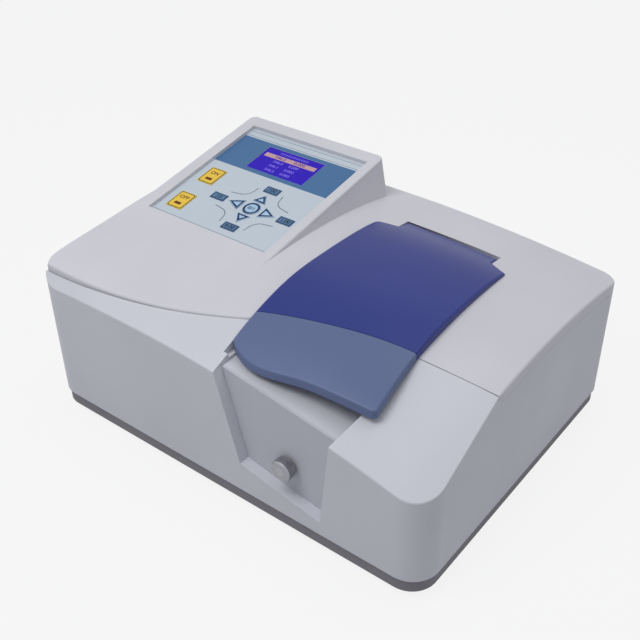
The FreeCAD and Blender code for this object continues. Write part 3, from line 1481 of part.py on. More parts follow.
carriage = keep(new_body("cell_carriage", MIDDLE, BEAM_Y, SLAB_LOW))
slab = sketch_on(carriage)
rectangle(slab, "-slab_width / 2", "slab_width / 2", "-cell_pitch / 2 - rack_end", "3.5 * cell_pitch + rack_end")
pad(carriage, slab, "slab_height")
rack = sketch_on(carriage, lift="slab_height")
rectangle(rack, "-rack_width / 2", "rack_width / 2", "-cell_pitch / 2 - rack_end", "3.5 * cell_pitch + rack_end")
pad(carriage, rack, "rack_height")
windows = sketch_on(carriage, "YZ_Plane", "rack_width")
rectangle(windows, "-cell_window / 2", "cell_window / 2",
          "cell_floor + cell_window / 2 - %s" % SLAB_LOW, "slab_height + rack_height - cell_window / 2")
slots = pocket(carriage, windows, "rack_width * 2")
repeat(carriage, slots, windows, "H_Axis", "cell_pitch", 4)
cells = sketch_on(carriage, lift="slab_height + rack_height")
HALF_POCKET = "(cell_size / 2 + cell_gap)"
rectangle(cells, "-" + HALF_POCKET, HALF_POCKET, "-" + HALF_POCKET, HALF_POCKET)
holes = pocket(carriage, cells, "slab_height + rack_height + %s - cell_floor" % SLAB_LOW)
repeat(carriage, holes, cells, "V_Axis", "cell_pitch", 4)
bores = sketch_on(carriage, "XZ_Plane")
for side in ("-", ""):
    circle(bores, side + "rail_spacing / 2", "slab_height / 2", "rail_radius + running_gap")
pocket(carriage, bores, "5 * cell_pitch", onwards=False)
front_bores = sketch_on(carriage, "XZ_Plane")
for side in ("-", ""):
    circle(front_bores, side + "rail_spacing / 2", "slab_height / 2", "rail_radius + running_gap")
pocket(carriage, front_bores, "5 * cell_pitch", onwards=True)

for number in range(4):
    cuvette = keep(new_body("cuvette_%d" % (number + 1), MIDDLE, "%s + cell_pitch * %d" % (BEAM_Y, number), "cell_floor"))
    square = sketch_on(cuvette)
    rectangle(square, "-cell_size / 2", "cell_size / 2", "-cell_size / 2", "cell_size / 2")
    pad(cuvette, square, "cell_height")
    inner = sketch_on(cuvette, lift="cell_height")
    half = "(cell_size / 2 - cell_wall)"
    rectangle(inner, "-" + half, half, "-" + half, half)
    pocket(cuvette, inner, "cell_height - cell_wall")

KNOB_FACE = "(-body_depth / 2 - knob_proud)"
keep(solid_rod(
    "rod_radius", "%s - %s - knob_length + rod_socket" % (RACK_FRONT, KNOB_FACE),
    MIDDLE, "%s + knob_length - rod_socket" % KNOB_FACE, "rod_height", "y",
), "pull_rod")
knob = keep(new_body("pull_knob", MIDDLE, KNOB_FACE, "rod_height"))
half_section = sketch_on(knob, "YZ_Plane")
polygon(half_section, [
    ("0", "0"),
    ("0", "knob_radius - knob_bevel"),
    ("knob_bevel", "knob_radius"),
    ("knob_length - knob_bevel", "knob_radius"),
    ("knob_length", "knob_radius - knob_bevel"),
    ("knob_length", "rod_radius + running_gap"),
    ("knob_length - rod_socket", "rod_radius + running_gap"),
    ("knob_length - rod_socket", "0"),
])
revolve(knob, half_section, "H_Axis")


# Keypad: overlay, keys that travel, display and its board, in the console's frame
def console_body(label, across="0", along="0", rise="0"):
    """A body in the console's frame: origin at its back left corner, on the slope."""
    tilt_y = "((%s) * cos(console_tilt) - (%s) * sin(console_tilt))" % (along, rise)
    tilt_z = "((%s) * sin(console_tilt) + (%s) * cos(console_tilt))" % (along, rise)
    body = new_body(
        label, "%s + console_inset + (%s)" % (LEFT, across),
        "%s - console_setback + %s" % (BACK, tilt_y), "console_height + %s" % tilt_z,
    )
    body.Placement.Rotation = FreeCAD.Rotation(Vector(1, 0, 0), worth("console_tilt"))
    bind(body, "Placement.Rotation.Angle", "console_tilt")
    return body


OVERLAY_LOW = "(-panel_depth)"
CROSS_X = "(panel_left + cross_left)"
CROSS_Y = "(-panel_back - cross_back)"
KEYS = [
    ("key_start", "panel_left + start_left", "-panel_back - start_back", "start_width", "start_length"),
    ("key_stop", "panel_left + start_left", "-panel_back - start_back - start_pitch", "start_width", "start_length"),
    ("key_far", CROSS_X, CROSS_Y + " + cross_reach", "menu_width", "menu_length"),
    ("key_near", CROSS_X, CROSS_Y + " - cross_reach", "menu_width", "menu_length"),
    ("key_left", CROSS_X + " - cross_span", CROSS_Y, "menu_width", "menu_length"),
    ("key_right", CROSS_X + " + cross_span", CROSS_Y, "menu_width", "menu_length"),
]
ARROWS = [
    ("arrow_far", 0, 1), ("arrow_near", 0, -1), ("arrow_left", -1, 0), ("arrow_right", 1, 0),
]


def arrow_corners(across, along, grow="0"):
    """A triangular key that points away from the middle of the cross, grown all round."""
    half = "(arrow_half + 1.8 * %s)" % grow
    if across:
        base = "%s + (%d) * (arrow_step_side - %s)" % (CROSS_X, across, grow)
        tip = "%s + (%d) * (arrow_step_side + arrow_reach_side + 2.4 * %s)" % (CROSS_X, across, grow)
        return [(base, "%s - (%d) * %s" % (CROSS_Y, across, half)),
                (tip, CROSS_Y),
                (base, "%s + (%d) * %s" % (CROSS_Y, across, half))]
    base = "%s + (%d) * (arrow_step - %s)" % (CROSS_Y, along, grow)
    tip = "%s + (%d) * (arrow_step + arrow_reach + 2.4 * %s)" % (CROSS_Y, along, grow)
    return [("%s + (%d) * %s" % (CROSS_X, along, half), base),
            (CROSS_X, tip),
            ("%s - (%d) * %s" % (CROSS_X, along, half), base)]


overlay = keep(console_body("keypad_overlay"))
sheet_outline = sketch_on(overlay, lift=OVERLAY_LOW)
rectangle(
    sheet_outline, "panel_left + fit_gap", "panel_left + panel_width - fit_gap",
    "-panel_back - panel_length + fit_gap", "-panel_back - fit_gap",
)
pad(overlay, sheet_outline, "overlay_thickness")
openings = sketch_on(overlay, lift=OVERLAY_LOW + " + overlay_thickness")
for _, x, y, width, length in KEYS:
    rectangle(
        openings, "%s - %s / 2 - fit_gap" % (x, width), "%s + %s / 2 + fit_gap" % (x, width),
        "%s - %s / 2 - fit_gap" % (y, length), "%s + %s / 2 + fit_gap" % (y, length),
    )
for _, across, along in ARROWS:
    polygon(openings, arrow_corners(across, along, "fit_gap"))
circle(openings, CROSS_X, CROSS_Y, "round_key + fit_gap")
rectangle(
    openings, "panel_left + display_left", "panel_left + display_left + display_width",
    "-panel_back - display_back - display_length", "-panel_back - display_back",
)
pocket(overlay, openings, "overlay_thickness")

KEY_LOW = "(key_travel + fit_gap / 2 - panel_depth)"
KEY_RISE = "(overlay_thickness + key_proud - key_travel - fit_gap / 2)"
for label, x, y, width, length in KEYS:
    key = keep(console_body(label))
    cap = sketch_on(key, lift=KEY_LOW)
    rectangle(cap, "%s - %s / 2" % (x, width), "%s + %s / 2" % (x, width),
              "%s - %s / 2" % (y, length), "%s + %s / 2" % (y, length))
    pad(key, cap, KEY_RISE)
for label, across, along in ARROWS:
    key = keep(console_body(label))
    cap = sketch_on(key, lift=KEY_LOW)
    polygon(cap, arrow_corners(across, along))
    pad(key, cap, KEY_RISE)
key = keep(console_body("key_round"))
cap = sketch_on(key, lift=KEY_LOW)
circle(cap, CROSS_X, CROSS_Y, "round_key")
pad(key, cap, KEY_RISE)

display = keep(console_body("display_module"))
glass = sketch_on(display, lift="-console_thickness")
rectangle(
    glass, "panel_left + display_left + fit_gap", "panel_left + display_left + display_width - fit_gap",
    "-panel_back - display_back - display_length + fit_gap", "-panel_back - display_back - fit_gap",
)
pad(display, glass, "console_thickness - panel_depth + overlay_thickness - fit_gap")
carrier = sketch_on(display, lift="-console_thickness")
rectangle(
    carrier, "panel_left + display_left - display_rim", "panel_left + display_left + display_width + display_rim",
    "-panel_back - display_back - display_length - display_rim", "-panel_back - display_back + display_rim",
)
pad(display, carrier, "display_body", backwards=True)

board = keep(console_body("keypad_board"))
card = sketch_on(board, lift="-console_thickness - board_drop")
rectangle(
    card, "panel_left + board_margin", "panel_left + panel_width - board_margin",
    "-panel_back - panel_length + board_margin",
    "-panel_back - display_back - display_length - display_rim - board_margin",
)
pad(board, card, "board_thickness", backwards=True)
posts = sketch_on(board, lift="-console_thickness - board_drop")
for x in ("panel_left + 2 * board_margin", "panel_left + panel_width - 2 * board_margin"):
    for y in ("-panel_back - panel_length + 2 * board_margin",
              "-panel_back - display_back - display_length - display_rim - 2 * board_margin"):
        circle(posts, x, y, "post_radius")
pad(board, posts, "board_drop")


# Light source: a vented house with two lamps and a mirror that turns between them
SOURCE_LEFT = "(-body_width / 2 + source_inset)"
house = keep(new_body("lamp_house", SOURCE_LEFT, BEAM_Y, BENCH_TOP))
walls = sketch_on(house)
rectangle(walls, "0", "source_width", "-source_before", "source_behind")
rectangle(walls, "wall_thickness", "source_width - wall_thickness",
          "wall_thickness - source_before", "source_behind - wall_thickness")
pad(house, walls, "source_height")
beam_hole = sketch_on(house, "YZ_Plane", "source_width")
circle(beam_hole, "0", "beam_height - %s" % BENCH_TOP, "window_radius")
pocket(house, beam_hole, "wall_thickness")
louvres = sketch_on(house, "YZ_Plane", "source_width")
rectangle(louvres, "window_radius * 2", "source_behind - 2 * window_radius",
          "louvre_pitch", "louvre_pitch + wall_thickness")
louvre = pocket(house, louvres, "source_width")
repeat(house, louvre, louvres, "V_Axis", "louvre_pitch", 6)

LAMP_X = "(%s + source_width / 2)" % SOURCE_LEFT


def lamp(label, along, glass_radius, glass_length):
    """A lamp on its holder: base, stem and a domed envelope, turned about its axis."""
    body = new_body(label, LAMP_X, "%s + %s" % (BEAM_Y, along), BENCH_TOP)
    profile = sketch_on(body, "XZ_Plane")
    top = "beam_height - %s + %s" % (BENCH_TOP, glass_length)
    polygon(profile, [
        ("0", "0"),
        ("lamp_base", "0"),
        ("lamp_base", "lamp_foot"),
        ("lamp_stem", "lamp_foot + lamp_stem"),
        ("lamp_stem", "beam_height - %s - %s" % (BENCH_TOP, glass_length)),
        (glass_radius, "beam_height - %s - %s * 0.8" % (BENCH_TOP, glass_length)),
        (glass_radius, top + " * 0.94"),
        ("lamp_stem", top),
        ("0", top),
    ])
    revolve(body, profile)
    return keep(body)


lamp("halogen_lamp", "lamp_spacing", "halogen_radius", "halogen_length")
lamp("arc_lamp", "2 * lamp_spacing", "arc_radius", "arc_length")

mirror_base = new_body("mirror_turntable", LAMP_X, BEAM_Y, "%s + turntable_lift" % BENCH_TOP)
disc = sketch_on(mirror_base)
circle(disc, "0", "0", "turntable_radius")
circle(disc, "0", "0", "pin_radius + running_gap")
pad(mirror_base, disc, "turntable_height")
plate_sketch = sketch_on(mirror_base, lift="turntable_height")
rectangle(plate_sketch, "-turntable_radius * 0.8", "turntable_radius * 0.8", "-mirror_thickness / 2", "mirror_thickness / 2")
pad(mirror_base, plate_sketch, "beam_height - %s + turntable_radius - turntable_height" % BENCH_TOP)
mirror_base.Placement.Rotation = FreeCAD.Rotation(Vector(0, 0, 1), -45)
keep(mirror_base, "source_mirror")
source_pin = solid_rod("pin_radius", "turntable_lift + turntable_height - fit_gap", LAMP_X, BEAM_Y, BENCH_TOP)


# Filter wheel on its motor, between the light source and the monochromator
WHEEL_X = "(%s + source_width + wheel_gap)" % SOURCE_LEFT
WHEEL_Y = "(%s + filter_circle)" % BEAM_Y
wheel = keep(new_body("filter_wheel", WHEEL_X, WHEEL_Y, "beam_height"))
rim_sketch = sketch_on(wheel, "YZ_Plane")
circle(rim_sketch, "0", "0", "wheel_radius")
circle(rim_sketch, "0", "0", "motor_shaft + running_gap")
pad(wheel, rim_sketch, "wheel_thickness")
filter_holes = sketch_on(wheel, "YZ_Plane", "wheel_thickness")
circle(filter_holes, "-filter_circle", "0", "filter_radius")
one_hole = pocket(wheel, filter_holes, "wheel_thickness")
ring_pattern = wheel.newObject("PartDesign::PolarPattern", "filter_ring")
ring_pattern.Originals = [one_hole]
ring_pattern.Axis = (rim_sketch, ["N_Axis"])
ring_pattern.Angle = 360
ring_pattern.Occurrences = 6
wheel.Tip = ring_pattern

motor = keep(new_body("filter_motor", WHEEL_X + " + wheel_thickness + wheel_gap", WHEEL_Y, BENCH_TOP))
can = sketch_on(motor, "YZ_Plane")
circle(can, "0", "beam_height - %s" % BENCH_TOP, "motor_radius")
pad(motor, can, "motor_length")
shaft = sketch_on(motor, "YZ_Plane")
circle(shaft, "0", "beam_height - %s" % BENCH_TOP, "motor_shaft")
pad(motor, shaft, "wheel_thickness + wheel_gap", backwards=True)
cradle = sketch_on(motor, "YZ_Plane")
rectangle(cradle, "-motor_radius", "motor_radius", "0", "beam_height - %s - motor_radius / 2" % BENCH_TOP)
pad(motor, cradle, "motor_length / 2")


# Monochromator: a box on the bench with four mirrors and a turning grating
MONO_LEFT = "(%s + mono_start)" % SOURCE_LEFT
box = keep(new_body("monochromator_box", MONO_LEFT, BEAM_Y, BENCH_TOP))
shell_sketch = sketch_on(box)
rectangle(shell_sketch, "0", "mono_width", "-mono_before", "mono_behind")
pad(box, shell_sketch, "mono_height")
room = sketch_on(box, lift="mono_height")
rectangle(room, "wall_thickness", "mono_width - wall_thickness",
          "wall_thickness - mono_before", "mono_behind - wall_thickness")
pocket(box, room, "mono_height - wall_thickness")
slits = sketch_on(box, "YZ_Plane", "mono_width")
rectangle(slits, "-slit_width / 2", "slit_width / 2",
          "beam_height - %s - slit_height / 2" % BENCH_TOP, "beam_height - %s + slit_height / 2" % BENCH_TOP)
pocket(box, slits, "mono_width")

MONO_FLOOR = "(%s + wall_thickness)" % BENCH_TOP
MONO_NEAR = "(%s + mirror_inset)" % MONO_LEFT
MONO_FAR = "(%s + mono_width - mirror_inset)" % MONO_LEFT
MIRROR_BACK = "(%s + mono_behind - mirror_inset)" % BEAM_Y


def mirror(x, y, turn):
    """A flat mirror on a post, turned about its upright axis."""
    body = new_body("mirror_post", x, y, MONO_FLOOR)
    body.Placement.Rotation = FreeCAD.Rotation(Vector(0, 0, 1), turn)
    post = sketch_on(body)
    rectangle(post, "-mirror_width / 4", "mirror_width / 4", "0", "mirror_thickness * 2")
    pad(body, post, "beam_height - %s - mirror_width / 3" % MONO_FLOOR)
    glass_sketch = sketch_on(body)
    rectangle(glass_sketch, "-mirror_width / 2", "mirror_width / 2", "-mirror_thickness", "0")
    pad(body, glass_sketch, "beam_height - %s + mirror_width / 2" % MONO_FLOOR)
    return body


keep(joined("mirrors", [
    mirror(MONO_NEAR, BEAM_Y, 135),
    mirror(MONO_FAR, BEAM_Y, -135),
    mirror(MONO_NEAR, MIRROR_BACK, 12),
    mirror(MONO_FAR, MIRROR_BACK, -12),
]))

GRATING_X = "(%s + mono_width / 2)" % MONO_LEFT
GRATING_Y = "(%s + grating_offset)" % BEAM_Y
grating_pin = solid_rod("pin_radius", "pin_height", GRATING_X, GRATING_Y, MONO_FLOOR)
keep(joined("turntable_pins", [source_pin, grating_pin]))
shaped("grating_mount", grating_mount())
shaped("drive_pinion", drive_pinion())
drive = keep(new_body("drive_motor", GRATING_X, "%s - gear_distance" % GRATING_Y, MONO_FLOOR))
drive_can = sketch_on(drive, lift="gear_lift + gear_height + 2 * fit_gap")
circle(drive_can, "0", "0", "drive_radius")
pad(drive, drive_can, "drive_height")
drive_shaft = sketch_on(drive)
circle(drive_shaft, "0", "0", "motor_shaft")
pad(drive, drive_shaft, "gear_lift + gear_height + 2 * fit_gap")
stand = sketch_on(drive)
rectangle(stand, "-drive_radius", "drive_radius", "-drive_radius - wall_thickness", "-drive_radius")
pad(drive, stand, "gear_lift + gear_height + drive_height")
strap = sketch_on(drive, lift="gear_lift + gear_height + 2 * fit_gap")
rectangle(strap, "-drive_radius / 2", "drive_radius / 2", "-drive_radius", "0")
pad(drive, strap, "drive_height / 2")


# Detector behind the compartment's right window
detector = keep(new_body("detector_unit", "%s + opening_width / 2 + wall_thickness + fit_gap" % MIDDLE, BEAM_Y, BENCH_TOP))
case_sketch = sketch_on(detector)
rectangle(case_sketch, "0", "detector_length", "-detector_width / 2", "detector_width / 2")
pad(detector, case_sketch, "beam_height - %s + detector_width / 2" % BENCH_TOP)
bore_sketch = sketch_on(detector, "YZ_Plane")
circle(bore_sketch, "0", "beam_height - %s" % BENCH_TOP, "window_radius")
pocket(detector, bore_sketch, "detector_length * 0.6", onwards=True)


# Electronics on the floor: main board under the bench, power supply behind it
main_board = keep(new_body("main_board", LEFT, FRONT, FLOOR))
card = sketch_on(main_board, lift="board_stand")
rectangle(card, "card_left", "card_left + card_width", "card_front", "card_front + card_depth")
pad(main_board, card, "board_thickness")
stands = sketch_on(main_board)
for x in ("card_left + board_margin", "card_left + card_width - board_margin"):
    for y in ("card_front + board_margin", "card_front + card_depth - board_margin"):
        circle(stands, x, y, "post_radius")
pad(main_board, stands, "board_stand")
chips = sketch_on(main_board, lift="board_stand + board_thickness")
rectangle(chips, "card_left + chip_pitch", "card_left + chip_pitch + chip_width",
          "card_front + chip_pitch", "card_front + chip_pitch + chip_width")
chip = pad(main_board, chips, "chip_height")
repeat(main_board, chip, chips, "H_Axis", "chip_pitch", 4)

supply = keep(new_body("power_supply", "%s - supply_inset" % RIGHT, "%s - supply_setback" % BACK, FLOOR))
tray_sketch = sketch_on(supply)
rectangle(tray_sketch, "-supply_width", "0", "-supply_depth", "0")
pad(supply, tray_sketch, "supply_height")
mesh = sketch_on(supply, lift="supply_height")
rectangle(mesh, "vent_pitch - supply_width", "vent_pitch + vent_width - supply_width",
          "wall_thickness - supply_depth", "-wall_thickness")
slot = pocket(supply, mesh, "wall_thickness")
repeat(supply, slot, mesh, "H_Axis", "vent_pitch", 7)


# Rear panel fittings: fan, inlet with its switch, and data socket
FAN_X = "(-body_width / 2 + fan_inset)"
REAR_INSIDE = "(body_depth / 2 - wall_thickness)"
fan = keep(new_body("fan_frame", FAN_X, REAR_INSIDE, "fan_height"))
frame_sketch = sketch_on(fan, "XZ_Plane")
rounded_rectangle(frame_sketch, "-fan_size / 2", "fan_size / 2", "-fan_size / 2", "fan_size / 2", "fan_corner", "fan_corner")
circle(frame_sketch, "0", "0", "fan_bore")
pad(fan, frame_sketch, "fan_depth")
spokes = sketch_on(fan, "XZ_Plane", "fan_depth - wall_thickness")
circle(spokes, "0", "0", "hub_radius")
hub_plate = pad(fan, spokes, "wall_thickness")
spider = sketch_on(fan, "XZ_Plane", "fan_depth - wall_thickness")
rectangle(spider, "-wall_thickness / 2", "wall_thickness / 2", "-fan_bore - wall_thickness / 2", "fan_bore + wall_thickness / 2")
arms = pad(fan, spider, "wall_thickness")
spider_across = sketch_on(fan, "XZ_Plane", "fan_depth - wall_thickness")
rectangle(spider_across, "-fan_bore - wall_thickness / 2", "fan_bore + wall_thickness / 2", "-wall_thickness / 2", "wall_thickness / 2")
pad(fan, spider_across, "wall_thickness")
pin = sketch_on(fan, "XZ_Plane", "fan_depth - wall_thickness")
circle(pin, "0", "0", "pin_radius")
pad(fan, pin, "fan_depth / 2", backwards=True)

rotor = keep(new_body("fan_rotor", FAN_X, REAR_INSIDE, "fan_height"))
hub = sketch_on(rotor, "XZ_Plane", "2 * fit_gap + rotor_gap")
circle(hub, "0", "0", "hub_radius")
pad(rotor, hub, "fan_depth - 2 * wall_thickness - rotor_gap")
blade = sketch_on(rotor, "XZ_Plane", "rotor_gap + blade_margin")
polygon(blade, [
    ("-blade_width / 2", "hub_radius * 0.8"),
    ("blade_width / 2", "hub_radius * 0.8"),
    ("blade_width", "fan_bore - rotor_gap - 1"),
    ("0", "fan_bore - rotor_gap"),
    ("-blade_width", "fan_bore - rotor_gap - 1"),
])
one_blade = pad(rotor, blade, "fan_depth - 2 * wall_thickness - rotor_gap - 2 * blade_margin")
hub_bore = sketch_on(rotor, "XZ_Plane")
circle(hub_bore, "0", "0", "pin_radius + running_gap")
blades = rotor.newObject("PartDesign::PolarPattern", "fan_blades")
blades.Originals = [one_blade]
blades.Axis = (blade, ["N_Axis"])
blades.Angle = 360
blades.Occurrences = 5
rotor.Tip = blades
pocket(rotor, hub_bore, "fan_depth * 2", onwards=True)

guard = keep(new_body("fan_guard", FAN_X, BACK, "fan_height"))
outer_ring = sketch_on(guard, "XZ_Plane")
for radius in ("fan_bore + guard_rim", "fan_bore"):
    circle(outer_ring, "0", "0", radius)
pad(guard, outer_ring, "guard_thickness", backwards=True)
for radius in ("fan_bore * 0.7", "fan_bore * 0.42"):
    ring_sketch = sketch_on(guard, "XZ_Plane")
    circle(ring_sketch, "0", "0", radius + " + guard_bar")
    circle(ring_sketch, "0", "0", radius)
    pad(guard, ring_sketch, "guard_thickness", backwards=True)
bars = sketch_on(guard, "XZ_Plane")
rectangle(bars, "-guard_bar / 2", "guard_bar / 2", "-fan_bore - guard_rim / 2", "fan_bore + guard_rim / 2")
one_bar = pad(guard, bars, "guard_thickness", backwards=True)
spoke_ring = guard.newObject("PartDesign::PolarPattern", "guard_bars")
spoke_ring.Originals = [one_bar]
spoke_ring.Axis = (bars, ["N_Axis"])
spoke_ring.Angle = 180
spoke_ring.Occurrences = 4
guard.Tip = spoke_ring

INLET_X = "(body_width / 2 - inlet_inset)"
inlet = keep(new_body("power_inlet", INLET_X, BACK, "inlet_height"))
flange = sketch_on(inlet, "XZ_Plane")
rounded_rectangle(flange, "-inlet_width / 2 - inlet_flange", "inlet_width / 2 + inlet_flange",
                  "-inlet_rise / 2 - inlet_flange", "inlet_rise / 2 + inlet_flange", "inlet_flange", "inlet_flange")
pad(inlet, flange, "guard_thickness", backwards=True)
inlet_body = sketch_on(inlet, "XZ_Plane")
rectangle(inlet_body, "-inlet_width / 2", "inlet_width / 2", "-inlet_rise / 2", "inlet_rise / 2")
pad(inlet, inlet_body, "inlet_depth")
socket = sketch_on(inlet, "XZ_Plane", "-guard_thickness")
polygon(socket, [
    ("-inlet_width / 2 + socket_rim", "-socket_rise / 2"),
    ("inlet_width / 2 - socket_rim - socket_width_cut", "-socket_rise / 2"),
    ("inlet_width / 2 - socket_rim - socket_width_cut", "socket_rise / 2"),
    ("-inlet_width / 2 + socket_rim", "socket_rise / 2"),
])
pocket(inlet, socket, "socket_depth + guard_thickness", onwards=True)
rocker_hole = sketch_on(inlet, "XZ_Plane", "-guard_thickness")
ROCKER_X = "(inlet_width / 2 - socket_rim - rocker_width / 2)"
rectangle(rocker_hole, ROCKER_X + " - rocker_width / 2 - fit_gap", ROCKER_X + " + rocker_width / 2 + fit_gap",
          "-rocker_rise / 2 - fit_gap * 2", "rocker_rise / 2 + fit_gap * 2")
pocket(inlet, rocker_hole, "rocker_depth + guard_thickness", onwards=True)

rocker = keep(new_body("switch_rocker", INLET_X + " + " + ROCKER_X + " - rocker_width / 2", BACK, "inlet_height"))
rocker_side = sketch_on(rocker, "YZ_Plane")
polygon(rocker_side, [
    ("guard_thickness - rocker_dip / 2", "0"),
    ("guard_thickness - rocker_dip", "rocker_rise / 2 - fit_gap"),
    ("-rocker_dip - guard_thickness", "rocker_rise / 2 - fit_gap"),
    ("-rocker_depth / 2", "0"),
    ("-rocker_dip - guard_thickness", "-rocker_rise / 2 + fit_gap"),
    ("guard_thickness", "-rocker_rise / 2 + fit_gap"),
])
pad(rocker, rocker_side, "rocker_width")

ports = keep(new_body("data_socket", "%s - port_inset" % RIGHT, BACK, "inlet_height"))
port_flange = sketch_on(ports, "XZ_Plane")
rectangle(port_flange, "-port_width / 2 - inlet_flange", "port_width / 2 + inlet_flange",
          "-port_rise / 2 - inlet_flange / 2", "port_rise / 2 + inlet_flange / 2")
pad(ports, port_flange, "guard_thickness / 2", backwards=True)
port_body = sketch_on(ports, "XZ_Plane")
rectangle(port_body, "-port_width / 2", "port_width / 2", "-port_rise / 2", "port_rise / 2")
pad(ports, port_body, "inlet_depth / 2")
port_mouth = sketch_on(ports, "XZ_Plane", "-guard_thickness / 2")
rectangle(port_mouth, "-port_width / 2 + guard_bar", "port_width / 2 - guard_bar",
          "-port_rise / 2 + guard_bar", "port_rise / 2 - guard_bar")
pocket(ports, port_mouth, "inlet_depth / 2", onwards=True)


# Screws that hold the housing's back to the tray
rear_screws = []
for share in REAR_SCREWS:
    x = "body_width * %s" % share
    rear_screws.append(solid_rod("screw_head", "screw_cap", x, BACK, "screw_height", "y"))
    rear_screws.append(solid_rod("screw_radius", "screw_cap + wall_thickness + 2", x, BACK + " - wall_thickness - 2", "screw_height", "y"))
keep(joined("rear_screws", rear_screws))


# Checks and export
doc.recompute()
failed = [thing.Name for thing in doc.Objects if "Invalid" in thing.State or "Error" in thing.State]
if failed:
    raise RuntimeError("failed objects: " + ", ".join(failed))
for node in nodes:
    if node.Shape.isNull() or not node.Shape.isValid() or not node.Shape.Solids:
        raise RuntimeError("bad shape: " + node.Label)

os.makedirs("parts", exist_ok=True)
for node in nodes:
    node.Shape.exportStep("parts/%s.step" % node.Label)
print(len(nodes), "sub-parts written")
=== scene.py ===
import math

import bmesh
import bpy
from mathutils import Matrix, Vector


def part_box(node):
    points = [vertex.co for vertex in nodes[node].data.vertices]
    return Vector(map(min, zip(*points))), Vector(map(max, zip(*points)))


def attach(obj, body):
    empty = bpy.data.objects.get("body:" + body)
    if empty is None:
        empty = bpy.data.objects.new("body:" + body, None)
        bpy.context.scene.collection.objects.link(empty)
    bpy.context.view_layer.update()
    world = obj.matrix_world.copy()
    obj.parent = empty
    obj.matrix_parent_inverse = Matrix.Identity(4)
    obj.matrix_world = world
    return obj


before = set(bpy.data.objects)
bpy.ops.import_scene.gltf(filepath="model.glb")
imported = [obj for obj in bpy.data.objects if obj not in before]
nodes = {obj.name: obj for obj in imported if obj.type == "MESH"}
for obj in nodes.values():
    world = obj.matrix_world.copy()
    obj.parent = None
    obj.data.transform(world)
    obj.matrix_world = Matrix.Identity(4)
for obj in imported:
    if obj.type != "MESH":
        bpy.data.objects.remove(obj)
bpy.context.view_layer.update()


# Studio
# The instrument stands on a white bench in a plain bright room. The camera looks down
# on it from the front right, as the photograph does, and a large soft lamp hangs above
# its front, so the top and the sloped band are brighter than the walls.

def paint(red, green, blue):
    """A colour written as it looks on a screen, 0 to 255, as Blender's linear numbers."""
    numbers = []
    for value in (red, green, blue):
        share = value / 255
        numbers.append(share / 12.92 if share <= 0.04045 else ((share + 0.055) / 1.055) ** 2.4)
    return (*numbers, 1)


camera_data = bpy.data.cameras.new("camera")
camera_data.lens = 54.69
camera_data.sensor_width = 36
camera = bpy.data.objects.new("camera", camera_data)
camera.matrix_world = Matrix((
    (0.7905, -0.3448, 0.5063, 0.5105),
    (0.6124, 0.4601, -0.6429, -0.6603),
    (-0.0113, 0.8182, 0.5748, 0.6935),
    (0, 0, 0, 1),
))
bpy.context.scene.collection.objects.link(camera)
bpy.context.scene.camera = camera
bpy.context.scene.view_settings.view_transform = "Standard"


def lamp(name, place, aim, size, watts):
    """A square soft lamp that points at a spot."""
    data = bpy.data.lights.new(name, "AREA")
    data.size = size
    data.energy = watts
    thing = bpy.data.objects.new(name, data)
    thing.location = place
    thing.rotation_euler = (Vector(aim) - Vector(place)).to_track_quat("-Z", "Y").to_euler()
    bpy.context.scene.collection.objects.link(thing)


lamp("front_lamp", (-0.3, -0.9, 1.75), (0, -0.05, 0.12), 0.9, 13.8)
lamp("top_lamp", (0.2, 0.5, 1.9), (0, 0, 0.1), 1.2, 5)
lamp("side_lamp", (1.6, 0.2, 0.7), (0.1, 0, 0.1), 0.8, 0.9)


def seen_or_mirrored(tree):
    """One for rays from the camera, straight or by way of metal or glass, and none for light."""
    path = tree.nodes.new("ShaderNodeLightPath")
    share = path.outputs["Is Camera Ray"]
    for kind in ("Is Glossy Ray", "Is Transmission Ray"):
        larger = tree.nodes.new("ShaderNodeMath")
        larger.operation = "MAXIMUM"
        tree.links.new(share, larger.inputs[0])
        tree.links.new(path.outputs[kind], larger.inputs[1])
        share = larger.outputs[0]
    return share


world = bpy.data.worlds.new("room")
world.use_nodes = True
bpy.context.scene.world = world
tree = world.node_tree
tree.nodes.clear()
room_light = tree.nodes.new("ShaderNodeBackground")
room_light.inputs["Color"].default_value = (0.93, 0.95, 1, 1)
room_light.inputs["Strength"].default_value = 0.4
white = tree.nodes.new("ShaderNodeBackground")
white.inputs["Color"].default_value = (1, 1, 1, 1)
white.inputs["Strength"].default_value = 1
either = tree.nodes.new("ShaderNodeMixShader")
tree.links.new(seen_or_mirrored(tree), either.inputs["Fac"])
tree.links.new(room_light.outputs[0], either.inputs[1])
tree.links.new(white.outputs[0], either.inputs[2])
out = tree.nodes.new("ShaderNodeOutputWorld")
tree.links.new(either.outputs[0], out.inputs["Surface"])

bench_mesh = bpy.data.meshes.new("bench")
form = bmesh.new()
bmesh.ops.create_grid(form, x_segments=1, y_segments=1, size=6)
form.to_mesh(bench_mesh)
form.free()
bench = bpy.data.objects.new("bench", bench_mesh)
bpy.context.scene.collection.objects.link(bench)
bench_paint = bpy.data.materials.new("bench_paint")
bench_paint.use_nodes = True
tree = bench_paint.node_tree
tree.nodes.clear()
matt = tree.nodes.new("ShaderNodeBsdfDiffuse")
matt.inputs["Color"].default_value = (0.55, 0.55, 0.56, 1)
lit = tree.nodes.new("ShaderNodeEmission")
lit.inputs["Color"].default_value = (1, 1, 1, 1)
lit.inputs["Strength"].default_value = 1
white_share = 0.86
part_seen = tree.nodes.new("ShaderNodeMath")
part_seen.operation = "MULTIPLY"
part_seen.inputs[1].default_value = white_share
tree.links.new(seen_or_mirrored(tree), part_seen.inputs[0])
either = tree.nodes.new("ShaderNodeMixShader")
tree.links.new(part_seen.outputs[0], either.inputs["Fac"])
tree.links.new(matt.outputs[0], either.inputs[1])
